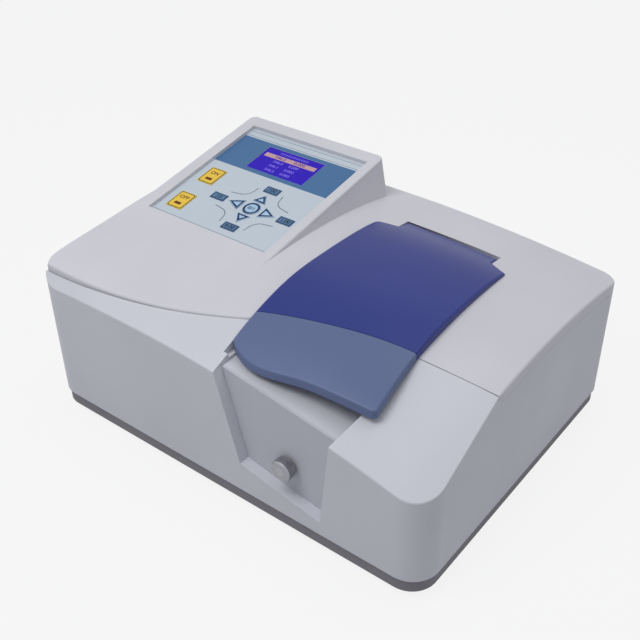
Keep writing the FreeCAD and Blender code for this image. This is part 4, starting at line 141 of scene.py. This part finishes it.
tree.links.new(lit.outputs[0], either.inputs[2])
out = tree.nodes.new("ShaderNodeOutputMaterial")
tree.links.new(either.outputs[0], out.inputs["Surface"])
bench_mesh.materials.append(bench_paint)


# Housing and top cover
# Two large injection mouldings in pale grey, with the fine spark texture that hides
# handling marks. The cover sits on a ledge of the housing and meets it at a thin seam.

def finish_named(name, colour, roughness, metal=0.0):
    """A new finish with one shader, whose node tree the caller adds to."""
    finish = bpy.data.materials.new(name)
    finish.use_nodes = True
    shader = finish.node_tree.nodes["Principled BSDF"]
    shader.inputs["Base Color"].default_value = colour
    shader.inputs["Roughness"].default_value = roughness
    shader.inputs["Metallic"].default_value = metal
    return finish, finish.node_tree, shader


def grain(tree, scale, detail=2.0, stretch=(1, 1, 1)):
    """Noise fixed to the object, with about scale grains to the metre."""
    where = tree.nodes.new("ShaderNodeTexCoord")
    sized = tree.nodes.new("ShaderNodeMapping")
    sized.inputs["Scale"].default_value = stretch
    tree.links.new(where.outputs["Object"], sized.inputs["Vector"])
    noise = tree.nodes.new("ShaderNodeTexNoise")
    noise.inputs["Scale"].default_value = scale
    noise.inputs["Detail"].default_value = detail
    tree.links.new(sized.outputs["Vector"], noise.inputs["Vector"])
    return noise.outputs["Fac"]


def between(tree, share, low, high, start=0.3, end=0.7):
    """A number that goes from low to high as share goes from start to end."""
    step = tree.nodes.new("ShaderNodeMapRange")
    step.inputs["From Min"].default_value = start
    step.inputs["From Max"].default_value = end
    step.inputs["To Min"].default_value = low
    step.inputs["To Max"].default_value = high
    tree.links.new(share, step.inputs["Value"])
    return step.outputs["Result"]


def blended(tree, share, first, second):
    """A colour that goes from first to second with share."""
    mix = tree.nodes.new("ShaderNodeMix")
    mix.data_type = "RGBA"
    mix.inputs["A"].default_value = first
    mix.inputs["B"].default_value = second
    tree.links.new(share, mix.inputs["Factor"])
    return mix.outputs["Result"]


def relief(tree, shader, height, depth, strength):
    """Give the surface a bump of a depth in metres."""
    bump = tree.nodes.new("ShaderNodeBump")
    bump.inputs["Distance"].default_value = depth
    bump.inputs["Strength"].default_value = strength
    tree.links.new(height, bump.inputs["Height"])
    tree.links.new(bump.outputs["Normal"], shader.inputs["Normal"])


def shade(colour, factor):
    """A colour made darker or lighter."""
    return (colour[0] * factor, colour[1] * factor, colour[2] * factor, 1)


def moulded(name, colour, roughness, texture_size=0.0006, strength=0.25, mottle=0.03):
    """Moulded plastic: spark texture, faint flow marks, and gloss that varies a little."""
    finish, tree, shader = finish_named(name, colour, roughness)
    flow = grain(tree, 9, 3)
    tint = blended(tree, between(tree, flow, 0, 1), shade(colour, 1 - mottle), shade(colour, 1 + mottle))
    tree.links.new(tint, shader.inputs["Base Color"])
    spark = grain(tree, 1 / texture_size, 2)
    tree.links.new(between(tree, spark, roughness - 0.05, roughness + 0.08), shader.inputs["Roughness"])
    relief(tree, shader, spark, texture_size * 0.12, strength)
    shader.inputs["Specular IOR Level"].default_value = 0.2
    return finish


def dress(finish, *names):
    """Give CAD nodes a finish."""
    for name in names:
        mesh = nodes[name].data
        if not mesh.materials:
            mesh.materials.append(finish)
        for number in range(len(mesh.materials)):
            mesh.materials[number] = finish


housing_paint = moulded("housing_paint", paint(210, 211, 219), 0.46)
cover_paint = moulded("cover_paint", paint(211, 211, 217), 0.44)
dress(housing_paint, "housing_shell")
dress(cover_paint, "top_cover")


# Base tray, feet and their screws
# A dark grey moulded tray that shows as a strip under the housing. It stands on four
# turned rubber feet, each held by a cross-head screw from below.

tray_plastic = moulded("tray_plastic", paint(134, 132, 138), 0.6, 0.0009, 0.4)
foot_rubber = moulded("foot_rubber", paint(38, 38, 40), 0.82, 0.0012, 0.5, 0.08)
dress(tray_plastic, "base_tray")
dress(foot_rubber, "rubber_feet")


def turned_metal(name, colour, roughness, axis, ring_pitch=0.0004):
    """Metal from a lathe, with fine rings round an axis: 0, 1 or 2 for x, y or z."""
    finish, tree, shader = finish_named(name, colour, roughness, 1.0)
    stretch = [40, 40, 40]
    stretch[axis] = 1 / ring_pitch
    lines = grain(tree, 1, 2, stretch)
    tree.links.new(between(tree, lines, roughness - 0.08, roughness + 0.12), shader.inputs["Roughness"])
    relief(tree, shader, lines, ring_pitch * 0.2, 0.35)
    return finish


screw_steel = turned_metal("screw_steel", paint(190, 191, 194), 0.34, 2)
dress(screw_steel, "foot_screws")


def placed(name, form, finish, body):
    """A piece from a finished form, on a body, with a finish of a material slot."""
    mesh = bpy.data.meshes.new(name)
    bmesh.ops.recalc_face_normals(form, faces=form.faces)
    form.to_mesh(mesh)
    form.free()
    mesh.materials.append(finish)
    thing = bpy.data.objects.new(name, mesh)
    bpy.context.scene.collection.objects.link(thing)
    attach(thing, body)
    return thing


def prism(form, corners, lift):
    """Add a closed prism: a ring of corners in space and the same ring moved by lift."""
    low = [form.verts.new(corner) for corner in corners]
    high = [form.verts.new(Vector(corner) + Vector(lift)) for corner in corners]
    count = len(corners)
    form.faces.new(low)
    form.faces.new(high)
    for number in range(count):
        following = (number + 1) % count
        form.faces.new((low[number], low[following], high[following], high[number]))


def cross_recess_shade(form, centre, across, along, outward, size):
    """Add a dark cross of painted shade where the driver's recess is, a hair proud of a screw's head."""
    centre = Vector(centre)
    for long_way, short_way in ((across, along), (along, across)):
        reach = Vector(long_way) * size
        half = Vector(short_way) * size * 0.22
        corners = [centre - reach - half, centre + reach - half, centre + reach + half, centre - reach + half]
        prism(form, corners, Vector(outward) * 0.00004)


# The crosses in the screw heads are painted shade: flat dark marks a hair proud of the heads stand in for the
# shadowed driver recesses.
painted_recess_shade = moulded("painted_recess_shade", paint(26, 26, 28), 0.7)
screw_head_radius = 0.0038
cross_reach = 0.0022
low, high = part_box("foot_screws")
form = bmesh.new()
for x in (low.x + screw_head_radius, high.x - screw_head_radius):
    for y in (low.y + screw_head_radius, high.y - screw_head_radius):
        cross_recess_shade(form, (x, y, low.z), (1, 0, 0), (0, 1, 0), (0, 0, -1), cross_reach)
placed("foot_screw_recess_shade", form, painted_recess_shade, "case")


# Lid
# Two gloss mouldings over the compartment, dark blue behind and a paler blue in front,
# clipped to one inner frame. It turns on a steel rod under its tongue at the back.

def lid_gloss(name, colour):
    """Gloss moulded plastic with a faint orange peel."""
    finish, tree, shader = finish_named(name, colour, 0.3)
    flow = grain(tree, 7, 2)
    tint = blended(tree, between(tree, flow, 0, 1), shade(colour, 0.95), shade(colour, 1.05))
    tree.links.new(tint, shader.inputs["Base Color"])
    peel = grain(tree, 700, 2)
    tree.links.new(between(tree, flow, 0.27, 0.36), shader.inputs["Roughness"])
    relief(tree, shader, peel, 0.00005, 0.18)
    shader.inputs["Specular IOR Level"].default_value = 0.22
    shader.inputs["Coat Weight"].default_value = 0.06
    shader.inputs["Coat Roughness"].default_value = 0.2
    return finish


lid_dark = lid_gloss("lid_dark_blue", paint(43, 56, 132))
lid_pale = lid_gloss("lid_pale_blue", paint(96, 110, 149))
dress(lid_dark, "lid_rear")
dress(lid_pale, "lid_front")
liner_plastic = moulded("liner_plastic", paint(52, 54, 62), 0.55)
dress(liner_plastic, "lid_liner")
dress(turned_metal("rod_steel", paint(196, 197, 200), 0.26, 0), "hinge_rod")


def sheet_metal(name, colour, roughness, way):
    """Rolled sheet with brushing along a direction: 0, 1 or 2 for x, y or z."""
    finish, tree, shader = finish_named(name, colour, roughness, 1.0)
    stretch = [1600, 1600, 1600]
    stretch[way] = 30
    lines = grain(tree, 1, 3, stretch)
    tree.links.new(between(tree, lines, roughness - 0.08, roughness + 0.1), shader.inputs["Roughness"])
    relief(tree, shader, lines, 0.00003, 0.2)
    return finish


bracket_steel = sheet_metal("bracket_steel", paint(176, 178, 182), 0.38, 1)
dress(bracket_steel, "hinge_brackets")


# Front recess with the pull rod
# A plate of pale sheet lies at the back of the recess. The carriage's steel rod comes
# through a turned bush in it and ends in a knurled aluminium knob.

plate_paint = moulded("plate_paint", paint(196, 197, 206), 0.5, 0.0007)
dress(plate_paint, "front_panel")
bush_brass = turned_metal("bush_brass", paint(186, 158, 96), 0.32, 1)
rod_steel = turned_metal("pull_rod_steel", paint(200, 201, 204), 0.22, 1)
knob_aluminium = turned_metal("knob_aluminium", paint(157, 158, 164), 0.4, 1, 0.0003)
dress(bush_brass, "rod_bush")
dress(rod_steel, "pull_rod")
dress(knob_aluminium, "pull_knob")

low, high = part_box("pull_knob")
knob_centre = (low + high) / 2
knob_radius = (high.x - low.x) / 2
rib_count = 60
rib_half = 0.0004
rib_root = -0.0001
rib_height = 0.00035
knurl_inset = 0.0022
form = bmesh.new()
for number in range(rib_count):
    turn = 2 * math.pi * number / rib_count
    corners = []
    for offset, reach in ((-rib_half, rib_root), (0, rib_height), (rib_half, rib_root)):
        angle = turn + offset / knob_radius
        radius = knob_radius + reach
        spot_x = knob_centre.x + radius * math.cos(angle)
        spot_z = knob_centre.z + radius * math.sin(angle)
        corners.append((spot_x, low.y + knurl_inset, spot_z))
    prism(form, corners, (0, high.y - low.y - 2 * knurl_inset, 0))
placed("knob_knurl", form, knob_aluminium, "carriage")

form = bmesh.new()
spot_radius = 0.0046
spot_steps = 32
spot_rim = []
for number in range(spot_steps):
    turn = 2 * math.pi * number / spot_steps
    spot_x = knob_centre.x + spot_radius * math.cos(turn)
    spot_z = knob_centre.z + spot_radius * math.sin(turn)
    spot_rim.append((spot_x, low.y, spot_z))
prism(form, spot_rim, (0, -0.00006, 0))
knob_cap_finish = turned_metal("knob_cap", paint(163, 164, 169), 0.34, 1, 0.0002)
placed("knob_cap", form, knob_cap_finish, "carriage")


# Keypad overlay and its print
# A printed polyester sheet lies in a recess of the console. It is pale blue with a steel
# blue band round the display, fine brackets between the keys, and thin rules, of which the
# one nearest the front is painted shade for the gap at the recess's front rim. Its print
# is placed in millimetres from the console's back left corner, up the slope and off it.

tilt = math.radians(9.9)
along_slope = Vector((0, math.cos(tilt), math.sin(tilt)))
off_slope = Vector((0, -math.sin(tilt), math.cos(tilt)))
console_corner = Vector((-0.228, 0.154, 0.2252))
OVERLAY_TOP = -4.0
PANEL_LEFT = 16
PANEL_BACK = -17.8
CROSS_ACROSS = PANEL_LEFT + 100.6
CROSS_ALONG = PANEL_BACK - 124.8


def on_console(across, along, rise):
    """A point of the console in metres, from millimetres across, up the slope and off it."""
    spot = Vector((across, 0, 0)) + along_slope * along + off_slope * rise
    return console_corner + spot / 1000


def printed(name, outlines, rise, finish, body, thickness=0.04):
    """Ink on the console: closed outlines in its plane, a hair thick."""
    form = bmesh.new()
    for outline in outlines:
        corners = [on_console(across, along, rise) for across, along in outline]
        prism(form, corners, off_slope * thickness / 1000)
    return placed(name, form, finish, body)


def round_corners(across, along, width, length, radius, steps=5):
    """The outline of a rectangle with round corners."""
    spots = []
    for sign_x, sign_y, start in ((1, 1, 0), (-1, 1, 90), (-1, -1, 180), (1, -1, 270)):
        centre_x = across + sign_x * (width / 2 - radius)
        centre_y = along + sign_y * (length / 2 - radius)
        for step in range(steps + 1):
            turn = math.radians(start + 90 * step / steps)
            spots.append((centre_x + radius * math.cos(turn), centre_y + radius * math.sin(turn)))
    return spots


def printed_ring(name, outer, inner, rise, finish, body, thickness=0.04):
    """A printed outline between two closed lines with as many points each."""
    form = bmesh.new()
    rings = []
    for line, level in ((outer, 0), (outer, thickness), (inner, thickness), (inner, 0)):
        rings.append([form.verts.new(on_console(across, along, rise + level)) for across, along in line])
    count = len(outer)
    for first, second in zip(rings, rings[1:] + rings[:1]):
        for number in range(count):
            following = (number + 1) % count
            form.faces.new((first[number], first[following], second[following], second[number]))
    return placed(name, form, finish, body)


def ink(name, colour, roughness=0.5):
    """Screen-printed ink with a faint mesh pattern."""
    finish, tree, shader = finish_named(name, colour, roughness)
    shader.inputs["Specular IOR Level"].default_value = 0.2
    speck = grain(tree, 2500, 2)
    tint = blended(tree, between(tree, speck, 0, 1), shade(colour, 0.96), shade(colour, 1.04))
    tree.links.new(tint, shader.inputs["Base Color"])
    return finish


overlay_sheet = moulded("overlay_sheet", paint(197, 207, 216), 0.36, 0.0004, 0.2, 0.015)
dress(overlay_sheet, "keypad_overlay")
band_ink = ink("band_ink", paint(70, 112, 156), 0.42)
line_ink = ink("line_ink", paint(78, 88, 100))
rule_and_gap_shade_ink = ink("rule_and_gap_shade_ink", paint(70, 90, 106))

display_across = PANEL_LEFT + 42.2
display_along = PANEL_BACK - 21.8
display_width = 80
display_length = 44
band_from = PANEL_BACK - 72.1
band_to = PANEL_BACK - 16
panel_right = PANEL_LEFT + 163.6
window_left = display_across - 0.1
window_right = display_across + display_width + 0.1
window_near = display_along - display_length - 0.1
window_far = display_along + 0.1
band_left = PANEL_LEFT + 0.4
around = []
for left, right, near, far in (
    (band_left, panel_right, band_from, window_near),
    (band_left, panel_right, window_far, band_to),
    (band_left, window_left, window_near, window_far),
    (window_right, panel_right, window_near, window_far),
):
    around.append([(left, near), (right, near), (right, far), (left, far)])
printed("overlay_band", around, OVERLAY_TOP, band_ink, "case")
rules_and_gap_shade = []
# The last rule, near the front edge of the overlay, is painted shade: a dark line for the shadowed gap under
# the recess's front rim.
for along in (PANEL_BACK - 5.6, PANEL_BACK - 13.8, PANEL_BACK - 174.8):
    rules_and_gap_shade.append([(PANEL_LEFT + 2, along), (panel_right - 2, along),
                  (panel_right - 2, along + 0.5), (PANEL_LEFT + 2, along + 0.5)])
printed("overlay_rules_and_gap_shade", rules_and_gap_shade, OVERLAY_TOP, rule_and_gap_shade_ink, "case")


def bracket_line(sign_x, sign_y):
    """A thin printed line that turns the corner between two arms of the key cross."""
    middle_line = [
        (CROSS_ACROSS + sign_x * 17, CROSS_ALONG + sign_y * 33),
        (CROSS_ACROSS + sign_x * 18.5, CROSS_ALONG + sign_y * 24),
        (CROSS_ACROSS + sign_x * 21, CROSS_ALONG + sign_y * 19),
        (CROSS_ACROSS + sign_x * 26, CROSS_ALONG + sign_y * 15.5),
        (CROSS_ACROSS + sign_x * 40, CROSS_ALONG + sign_y * 13),
    ]
    pieces = []
    for start, end in zip(middle_line, middle_line[1:]):
        way = Vector((end[0] - start[0], end[1] - start[1])).normalized()
        side = Vector((-way.y, way.x)) * 0.45
        first = Vector(start) - way * 0.15
        last = Vector(end) + way * 0.15
        pieces.append([tuple(first - side), tuple(last - side), tuple(last + side), tuple(first + side)])
    return pieces


brackets = []
for sign_x in (-1, 1):
    for sign_y in (-1, 1):
        brackets += bracket_line(sign_x, sign_y)
printed("overlay_brackets", brackets, OVERLAY_TOP, line_ink, "case")


# Display
# A blue backlit liquid crystal module behind the window of the overlay. It shows plain
# figures in light rows, with one row picked out by a beige bar.

display_glass, tree, shader = finish_named("display_glass", paint(44, 12, 178), 0.3)
cells = grain(tree, 4000, 1)
tint = blended(tree, between(tree, cells, 0, 1), paint(32, 6, 150), paint(54, 18, 204))
tree.links.new(tint, shader.inputs["Base Color"])
shader.inputs["Specular IOR Level"].default_value = 0.1
shader.inputs["Emission Color"].default_value = paint(44, 12, 178)
shader.inputs["Emission Strength"].default_value = 0.1
dress(display_glass, "display_module")
DISPLAY_TOP = -4.3

bar_finish, tree, shader = finish_named("display_bar", paint(196, 160, 160), 0.4)
cells = grain(tree, 4000, 1)
tint = blended(tree, between(tree, cells, 0, 1), paint(170, 128, 140), paint(200, 160, 158))
tree.links.new(tint, shader.inputs["Base Color"])
shader.inputs["Emission Color"].default_value = paint(196, 160, 160)
shader.inputs["Emission Strength"].default_value = 0.1
lit_finish, tree, shader = finish_named("display_figures", paint(140, 120, 226), 0.4)
cells = grain(tree, 4000, 1)
tint = blended(tree, between(tree, cells, 0, 1), paint(96, 78, 214), paint(128, 110, 226))
tree.links.new(tint, shader.inputs["Base Color"])
shader.inputs["Emission Color"].default_value = paint(140, 120, 226)
shader.inputs["Emission Strength"].default_value = 0.1
dark_finish = ink("display_dark_figures", paint(92, 54, 150))


def figures(name, words, across, along, height, rise, finish, body, widen=1.0):
    """Figures in plain strokes, as a thin mesh in the console's plane."""
    size_over_height = 1.38
    curve = bpy.data.curves.new(name + "_curve", "FONT")
    curve.body = words
    curve.size = height / 1000 * size_over_height
    curve.align_x = "CENTER"
    curve.align_y = "CENTER"
    curve.extrude = 0.00002
    curve.offset = 0.00012
    shape = bpy.data.objects.new(name + "_shape", curve)
    bpy.context.scene.collection.objects.link(shape)
    bpy.context.view_layer.update()
    mesh = bpy.data.meshes.new_from_object(shape)
    bpy.data.objects.remove(shape)
    mesh.name = name
    turn = Matrix((
        (1, 0, 0, 0),
        (0, along_slope.y, off_slope.y, 0),
        (0, along_slope.z, off_slope.z, 0),
        (0, 0, 0, 1),
    ))
    place = Matrix.Translation(on_console(across, along, rise))
    mesh.transform(place @ turn @ Matrix.Diagonal((widen, 1, 1, 1)))
    mesh.materials.clear()
    mesh.materials.append(finish)
    thing = bpy.data.objects.new(name, mesh)
    bpy.context.scene.collection.objects.link(thing)
    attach(thing, body)
    return thing


row_centre = display_across + display_width / 2
row_top = display_along - 5.4
row_pitch = 8
bar_along = row_top - row_pitch - 0.2
bar_half = 3.4
bar_margin = 4
bar_left = display_across + bar_margin
bar_right = display_across + display_width - bar_margin
bar = [(bar_left, bar_along - bar_half), (bar_right, bar_along - bar_half),
       (bar_right, bar_along + bar_half), (bar_left, bar_along + bar_half)]
printed("display_bar", [bar], DISPLAY_TOP, bar_finish, "case")
figures("display_row_1", "0 0 0 0 0 0 0 0 0 0 0", row_centre, row_top, 3.4, DISPLAY_TOP + 0.02,
        lit_finish, "case")
figures("display_row_2", "546.0      0.000", row_centre, bar_along, 4.4, DISPLAY_TOP + 0.06,
        dark_finish, "case", 1.15)
for number, words in enumerate(("546.0     0.000", "546.1     0.002", "546.2     0.003")):
    figures("display_row_%d" % (number + 3), words, row_centre, bar_along - row_pitch * (number + 1), 4.0,
            DISPLAY_TOP + 0.02, lit_finish, "case", 1.1)


# Keys
# Two large yellow keys, four small blue ones, four arrows and a round one. Each is a
# printed cap with an embossed rim that gives half a millimetre when it is pressed.

KEY_TOP = -3.4
yellow_cap = moulded("yellow_cap", paint(238, 200, 74), 0.38, 0.0004, 0.2)
blue_cap = moulded("blue_cap", paint(84, 120, 156), 0.38, 0.0004, 0.2)
arrow_cap = moulded("arrow_cap", paint(170, 200, 228), 0.38, 0.0004, 0.2)
rim_ink = ink("rim_ink", paint(26, 52, 92))
yellow_rim_ink = ink("yellow_rim_ink", paint(112, 100, 22))
legend_ink = ink("legend_ink", paint(16, 26, 56))
red_ink = ink("red_ink", paint(96, 40, 12))

large_keys = (("key_start", -99.2, "ON"), ("key_stop", -150.0, "OFF"))
across = PANEL_LEFT + 20.8
for name, along, words in large_keys:
    dress(yellow_cap, name)
    centre = PANEL_BACK + along
    outer = round_corners(across, centre, 20.7, 26.6, 2.4)
    inner = round_corners(across, centre, 18.3, 24.2, 1.8)
    printed_ring(name + "_rim", outer, inner, KEY_TOP, yellow_rim_ink, name)
    figures(name + "_legend", words, across, centre + 5, 5.2, KEY_TOP + 0.02, red_ink, name)
    mark = round_corners(across, centre - 6, 9, 4, 0.8)
    printed(name + "_mark", [mark], KEY_TOP, red_ink, name)

small_keys = (
    ("key_far", 0, 35.5, "100"),
    ("key_near", 0, -35.5, "0.00"),
    ("key_left", -46.5, 0, "10"),
    ("key_right", 46.5, 0, "1.00"),
)
for name, across, along, words in small_keys:
    dress(blue_cap, name)
    centre_x = CROSS_ACROSS + across
    centre_y = CROSS_ALONG + along
    outer = round_corners(centre_x, centre_y, 18.2, 9.5, 0.9)
    inner = round_corners(centre_x, centre_y, 15.8, 7.1, 0.5)
    printed_ring(name + "_rim", outer, inner, KEY_TOP, rim_ink, name)
    figures(name + "_legend", words, centre_x, centre_y, 4.6, KEY_TOP + 0.02,
            legend_ink, name, 1.15)

arrow_keys = (("arrow_far", 0, 1), ("arrow_near", 0, -1), ("arrow_left", -1, 0), ("arrow_right", 1, 0))
for name, across, along in arrow_keys:
    dress(arrow_cap, name)
    rings = []
    sideways = abs(across)
    outer_base = 12.6 + 2.1 * sideways
    outer_tip = 24.4 + 6.1 * sideways
    for base, tip, half in (
        (outer_base, outer_tip, 7.9),
        (outer_base + 2.2, outer_tip - 4.4, 4.3),
    ):
        side_x = -along
        side_y = across
        rings.append([
            (CROSS_ACROSS + across * base + side_x * half, CROSS_ALONG + along * base + side_y * half),
            (CROSS_ACROSS + across * base - side_x * half, CROSS_ALONG + along * base - side_y * half),
            (CROSS_ACROSS + across * tip, CROSS_ALONG + along * tip),
        ])
    printed_ring(name + "_rim", rings[0], rings[1], KEY_TOP, rim_ink, name)

dress(arrow_cap, "key_round")
ring_steps = 48
rings = []
for radius in (9.6, 7.0):
    ring = []
    for step in range(ring_steps):
        turn = 2 * math.pi * step / ring_steps
        ring.append((CROSS_ACROSS + radius * math.cos(turn), CROSS_ALONG + radius * math.sin(turn)))
    rings.append(ring)
printed_ring("key_round_rim", rings[0], rings[1], KEY_TOP, rim_ink, "key_round")
figures("key_round_legend", "0/1", CROSS_ACROSS, CROSS_ALONG, 4.8, KEY_TOP + 0.02, legend_ink,
        "key_round", 1.1)


# Sample compartment
# A black tub with a deck round its mouth and a foam seal on the deck. The carriage is
# bead-blasted aluminium on two ground rails and holds four fused silica cuvettes.

tub_plastic = moulded("tub_plastic", paint(40, 41, 44), 0.62, 0.0008, 0.4, 0.06)
dress(tub_plastic, "compartment_tub")

seal_foam, tree, shader = finish_named("seal_foam", paint(30, 30, 32), 0.95)
cells = grain(tree, 1500, 3)
tint = blended(tree, between(tree, cells, 0, 1), paint(16, 16, 17), paint(44, 44, 47))
tree.links.new(tint, shader.inputs["Base Color"])
relief(tree, shader, cells, 0.0003, 0.7)
dress(seal_foam, "light_seal")

rail_steel = turned_metal("rail_steel", paint(204, 205, 208), 0.18, 1, 0.0006)
dress(rail_steel, "carriage_rails")

blasted, tree, shader = finish_named("blasted_aluminium", paint(172, 174, 178), 0.5, 1.0)
beads = grain(tree, 2200, 2)
tree.links.new(between(tree, beads, 0.42, 0.6), shader.inputs["Roughness"])
relief(tree, shader, beads, 0.00004, 0.4)
dress(blasted, "cell_carriage")

silica, tree, shader = finish_named("fused_silica", (0.97, 0.98, 1, 1), 0.02)
shader.inputs["Transmission Weight"].default_value = 1
shader.inputs["IOR"].default_value = 1.46
where = tree.nodes.new("ShaderNodeNewGeometry")
parts = tree.nodes.new("ShaderNodeSeparateXYZ")
tree.links.new(where.outputs["True Normal"], parts.inputs["Vector"])
facing = tree.nodes.new("ShaderNodeMath")
facing.operation = "ABSOLUTE"
tree.links.new(parts.outputs["Y"], facing.inputs[0])
tree.links.new(between(tree, facing.outputs[0], 0.02, 0.4, 0.4, 0.6), shader.inputs["Roughness"])
dress(silica, "cuvette_1", "cuvette_2", "cuvette_3", "cuvette_4")


# Rear panel
# A black fan with a nickelled wire guard, a power inlet with three blades and a rocker
# switch, a small data socket, and the screws that hold the housing to the tray.

fan_black = moulded("fan_black", paint(34, 34, 36), 0.5, 0.0007)
inlet_black = moulded("inlet_black", paint(28, 28, 30), 0.42, 0.0006)
rocker_black = moulded("rocker_black", paint(20, 20, 22), 0.25, 0.0005, 0.1)
guard_nickel = sheet_metal("guard_nickel", paint(151, 152, 154), 0.2, 2)
dress(fan_black, "fan_frame", "fan_rotor")
dress(guard_nickel, "fan_guard")
dress(inlet_black, "power_inlet", "data_socket")
dress(rocker_black, "switch_rocker")
dress(turned_metal("rear_screw_steel", paint(136, 137, 139), 0.32, 1), "rear_screws")

low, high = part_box("rear_screws")
screw_height = (low.z + high.z) / 2
screw_span = high.x - low.x - 2 * screw_head_radius
# The rear screws get the same painted shade crosses for their driver recesses.
form = bmesh.new()
for share in (0, 1 / 3, 2 / 3, 1):
    screw_x = low.x + screw_head_radius + screw_span * share
    cross_recess_shade(form, (screw_x, high.y, screw_height), (1, 0, 0), (0, 0, 1), (0, 1, 0), cross_reach)
placed("rear_screw_recess_shade", form, painted_recess_shade, "case")

blade_metal = turned_metal("blade_metal", paint(204, 196, 170), 0.25, 1)
form = bmesh.new()


def upright_rectangle(centre, half_x, half_z):
    """The corners of a rectangle that faces the back."""
    corners = []
    for sign_x, sign_z in ((-1, -1), (1, -1), (1, 1), (-1, 1)):
        corners.append(Vector(centre) + Vector((sign_x * half_x, 0, sign_z * half_z)))
    return corners


socket_centre = Vector((0.1575, 0.166, 0.092))
blade_length = 0.0115
for across, rise in ((0, 0.0032), (-0.0055, -0.0022), (0.0055, -0.0022)):
    blade = upright_rectangle(socket_centre + Vector((across, 0, rise)), 0.001, 0.002)
    prism(form, blade, (0, blade_length, 0))
placed("inlet_blades", form, blade_metal, "case")

form = bmesh.new()
tongue_length = 0.008
prism(form, upright_rectangle((0.098, 0.1705, 0.0915), 0.0055, 0.0008), (0, tongue_length, 0))
tongue_white = moulded("tongue_white", paint(226, 226, 222), 0.4, 0.0005)
placed("data_tongue", form, tongue_white, "case")

white_ink = ink("white_ink", paint(228, 228, 226))
form = bmesh.new()
stroke_depth = 0.0002
prism(form, upright_rectangle((0.181, 0.1806, 0.0965), 0.0004, 0.002), (0, stroke_depth, 0))
placed("rocker_stroke", form, white_ink, "switch_rocker")


# Optical bench and what stands on it
# A cast plate on pillars carries the lamp house, the filter wheel, the monochromator
# with its toothed grating drive, and the detector. None of it shows with the lid shut.

cast, tree, shader = finish_named("cast_aluminium", paint(158, 160, 163), 0.6, 1.0)
sand = grain(tree, 900, 3)
tree.links.new(between(tree, sand, 0.5, 0.72), shader.inputs["Roughness"])
relief(tree, shader, sand, 0.00012, 0.6)
dress(cast, "optical_bench", "monochromator_box")
dress(turned_metal("pillar_steel", paint(188, 189, 192), 0.35, 2), "bench_pillars", "turntable_pins")
house_sheet = sheet_metal("house_sheet", paint(186, 187, 190), 0.42, 2)
dress(house_sheet, "lamp_house", "power_supply", "detector_unit")
dress(turned_metal("wheel_aluminium", paint(60, 62, 66), 0.45, 0), "filter_wheel")
motor_zinc = turned_metal("motor_zinc", paint(176, 177, 176), 0.38, 2)
dress(motor_zinc, "filter_motor", "drive_motor", "drive_pinion")
dress(blasted, "source_mirror", "grating_mount")

mirror_silver, tree, shader = finish_named("mirror_silver", (0.93, 0.93, 0.94, 1), 0.04, 1.0)
haze = grain(tree, 60, 2)
tree.links.new(between(tree, haze, 0.03, 0.07), shader.inputs["Roughness"])
dress(mirror_silver, "mirrors")

ceramic_foot = 0.012
blur = 0.0002
for name, foot_colour in (("halogen_lamp", paint(222, 218, 206)), ("arc_lamp", paint(200, 196, 186))):
    finish, tree, shader = finish_named(name + "_glass", (0.95, 0.97, 1, 1), 0.05)
    where = tree.nodes.new("ShaderNodeTexCoord")
    parts = tree.nodes.new("ShaderNodeSeparateXYZ")
    tree.links.new(where.outputs["Object"], parts.inputs["Vector"])
    low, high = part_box(name)
    foot_top = low.z + ceramic_foot
    share = between(tree, parts.outputs["Z"], 0, 1, foot_top - blur, foot_top + blur)
    tree.links.new(blended(tree, share, foot_colour, (0.95, 0.97, 1, 1)), shader.inputs["Base Color"])
    tree.links.new(between(tree, share, 0.5, 0.04, 0, 1), shader.inputs["Roughness"])
    tree.links.new(between(tree, share, 0, 0.92, 0, 1), shader.inputs["Transmission Weight"])
    dress(finish, name)


# Circuit boards
# Green glass-fibre boards with a solder mask over fine tracks, and black moulded chips.

mask, tree, shader = finish_named("solder_mask", paint(28, 84, 48), 0.35)
where = tree.nodes.new("ShaderNodeTexCoord")
tracks = tree.nodes.new("ShaderNodeTexBrick")
tracks.inputs["Scale"].default_value = 90
tracks.inputs["Mortar Size"].default_value = 0.03
tracks.inputs["Color1"].default_value = paint(26, 80, 46)
tracks.inputs["Color2"].default_value = paint(32, 92, 54)
tracks.inputs["Mortar"].default_value = paint(58, 120, 70)
tree.links.new(where.outputs["Object"], tracks.inputs["Vector"])
parts = tree.nodes.new("ShaderNodeSeparateXYZ")
tree.links.new(where.outputs["Object"], parts.inputs["Vector"])
chips_from = 0.0183
chips_to = 0.03
edge = 0.0001
above = between(tree, parts.outputs["Z"], 0, 1, chips_from, chips_from + edge)
below = between(tree, parts.outputs["Z"], 0, 1, chips_to, chips_to + edge)
chip_only = tree.nodes.new("ShaderNodeMath")
chip_only.operation = "SUBTRACT"
tree.links.new(above, chip_only.inputs[0])
tree.links.new(below, chip_only.inputs[1])
tint = blended(tree, chip_only.outputs[0], (0, 0, 0, 1), paint(22, 22, 24))
mixer = tint.node
tree.links.new(tracks.outputs["Color"], mixer.inputs["A"])
tree.links.new(tint, shader.inputs["Base Color"])
dress(mask, "main_board", "keypad_board")
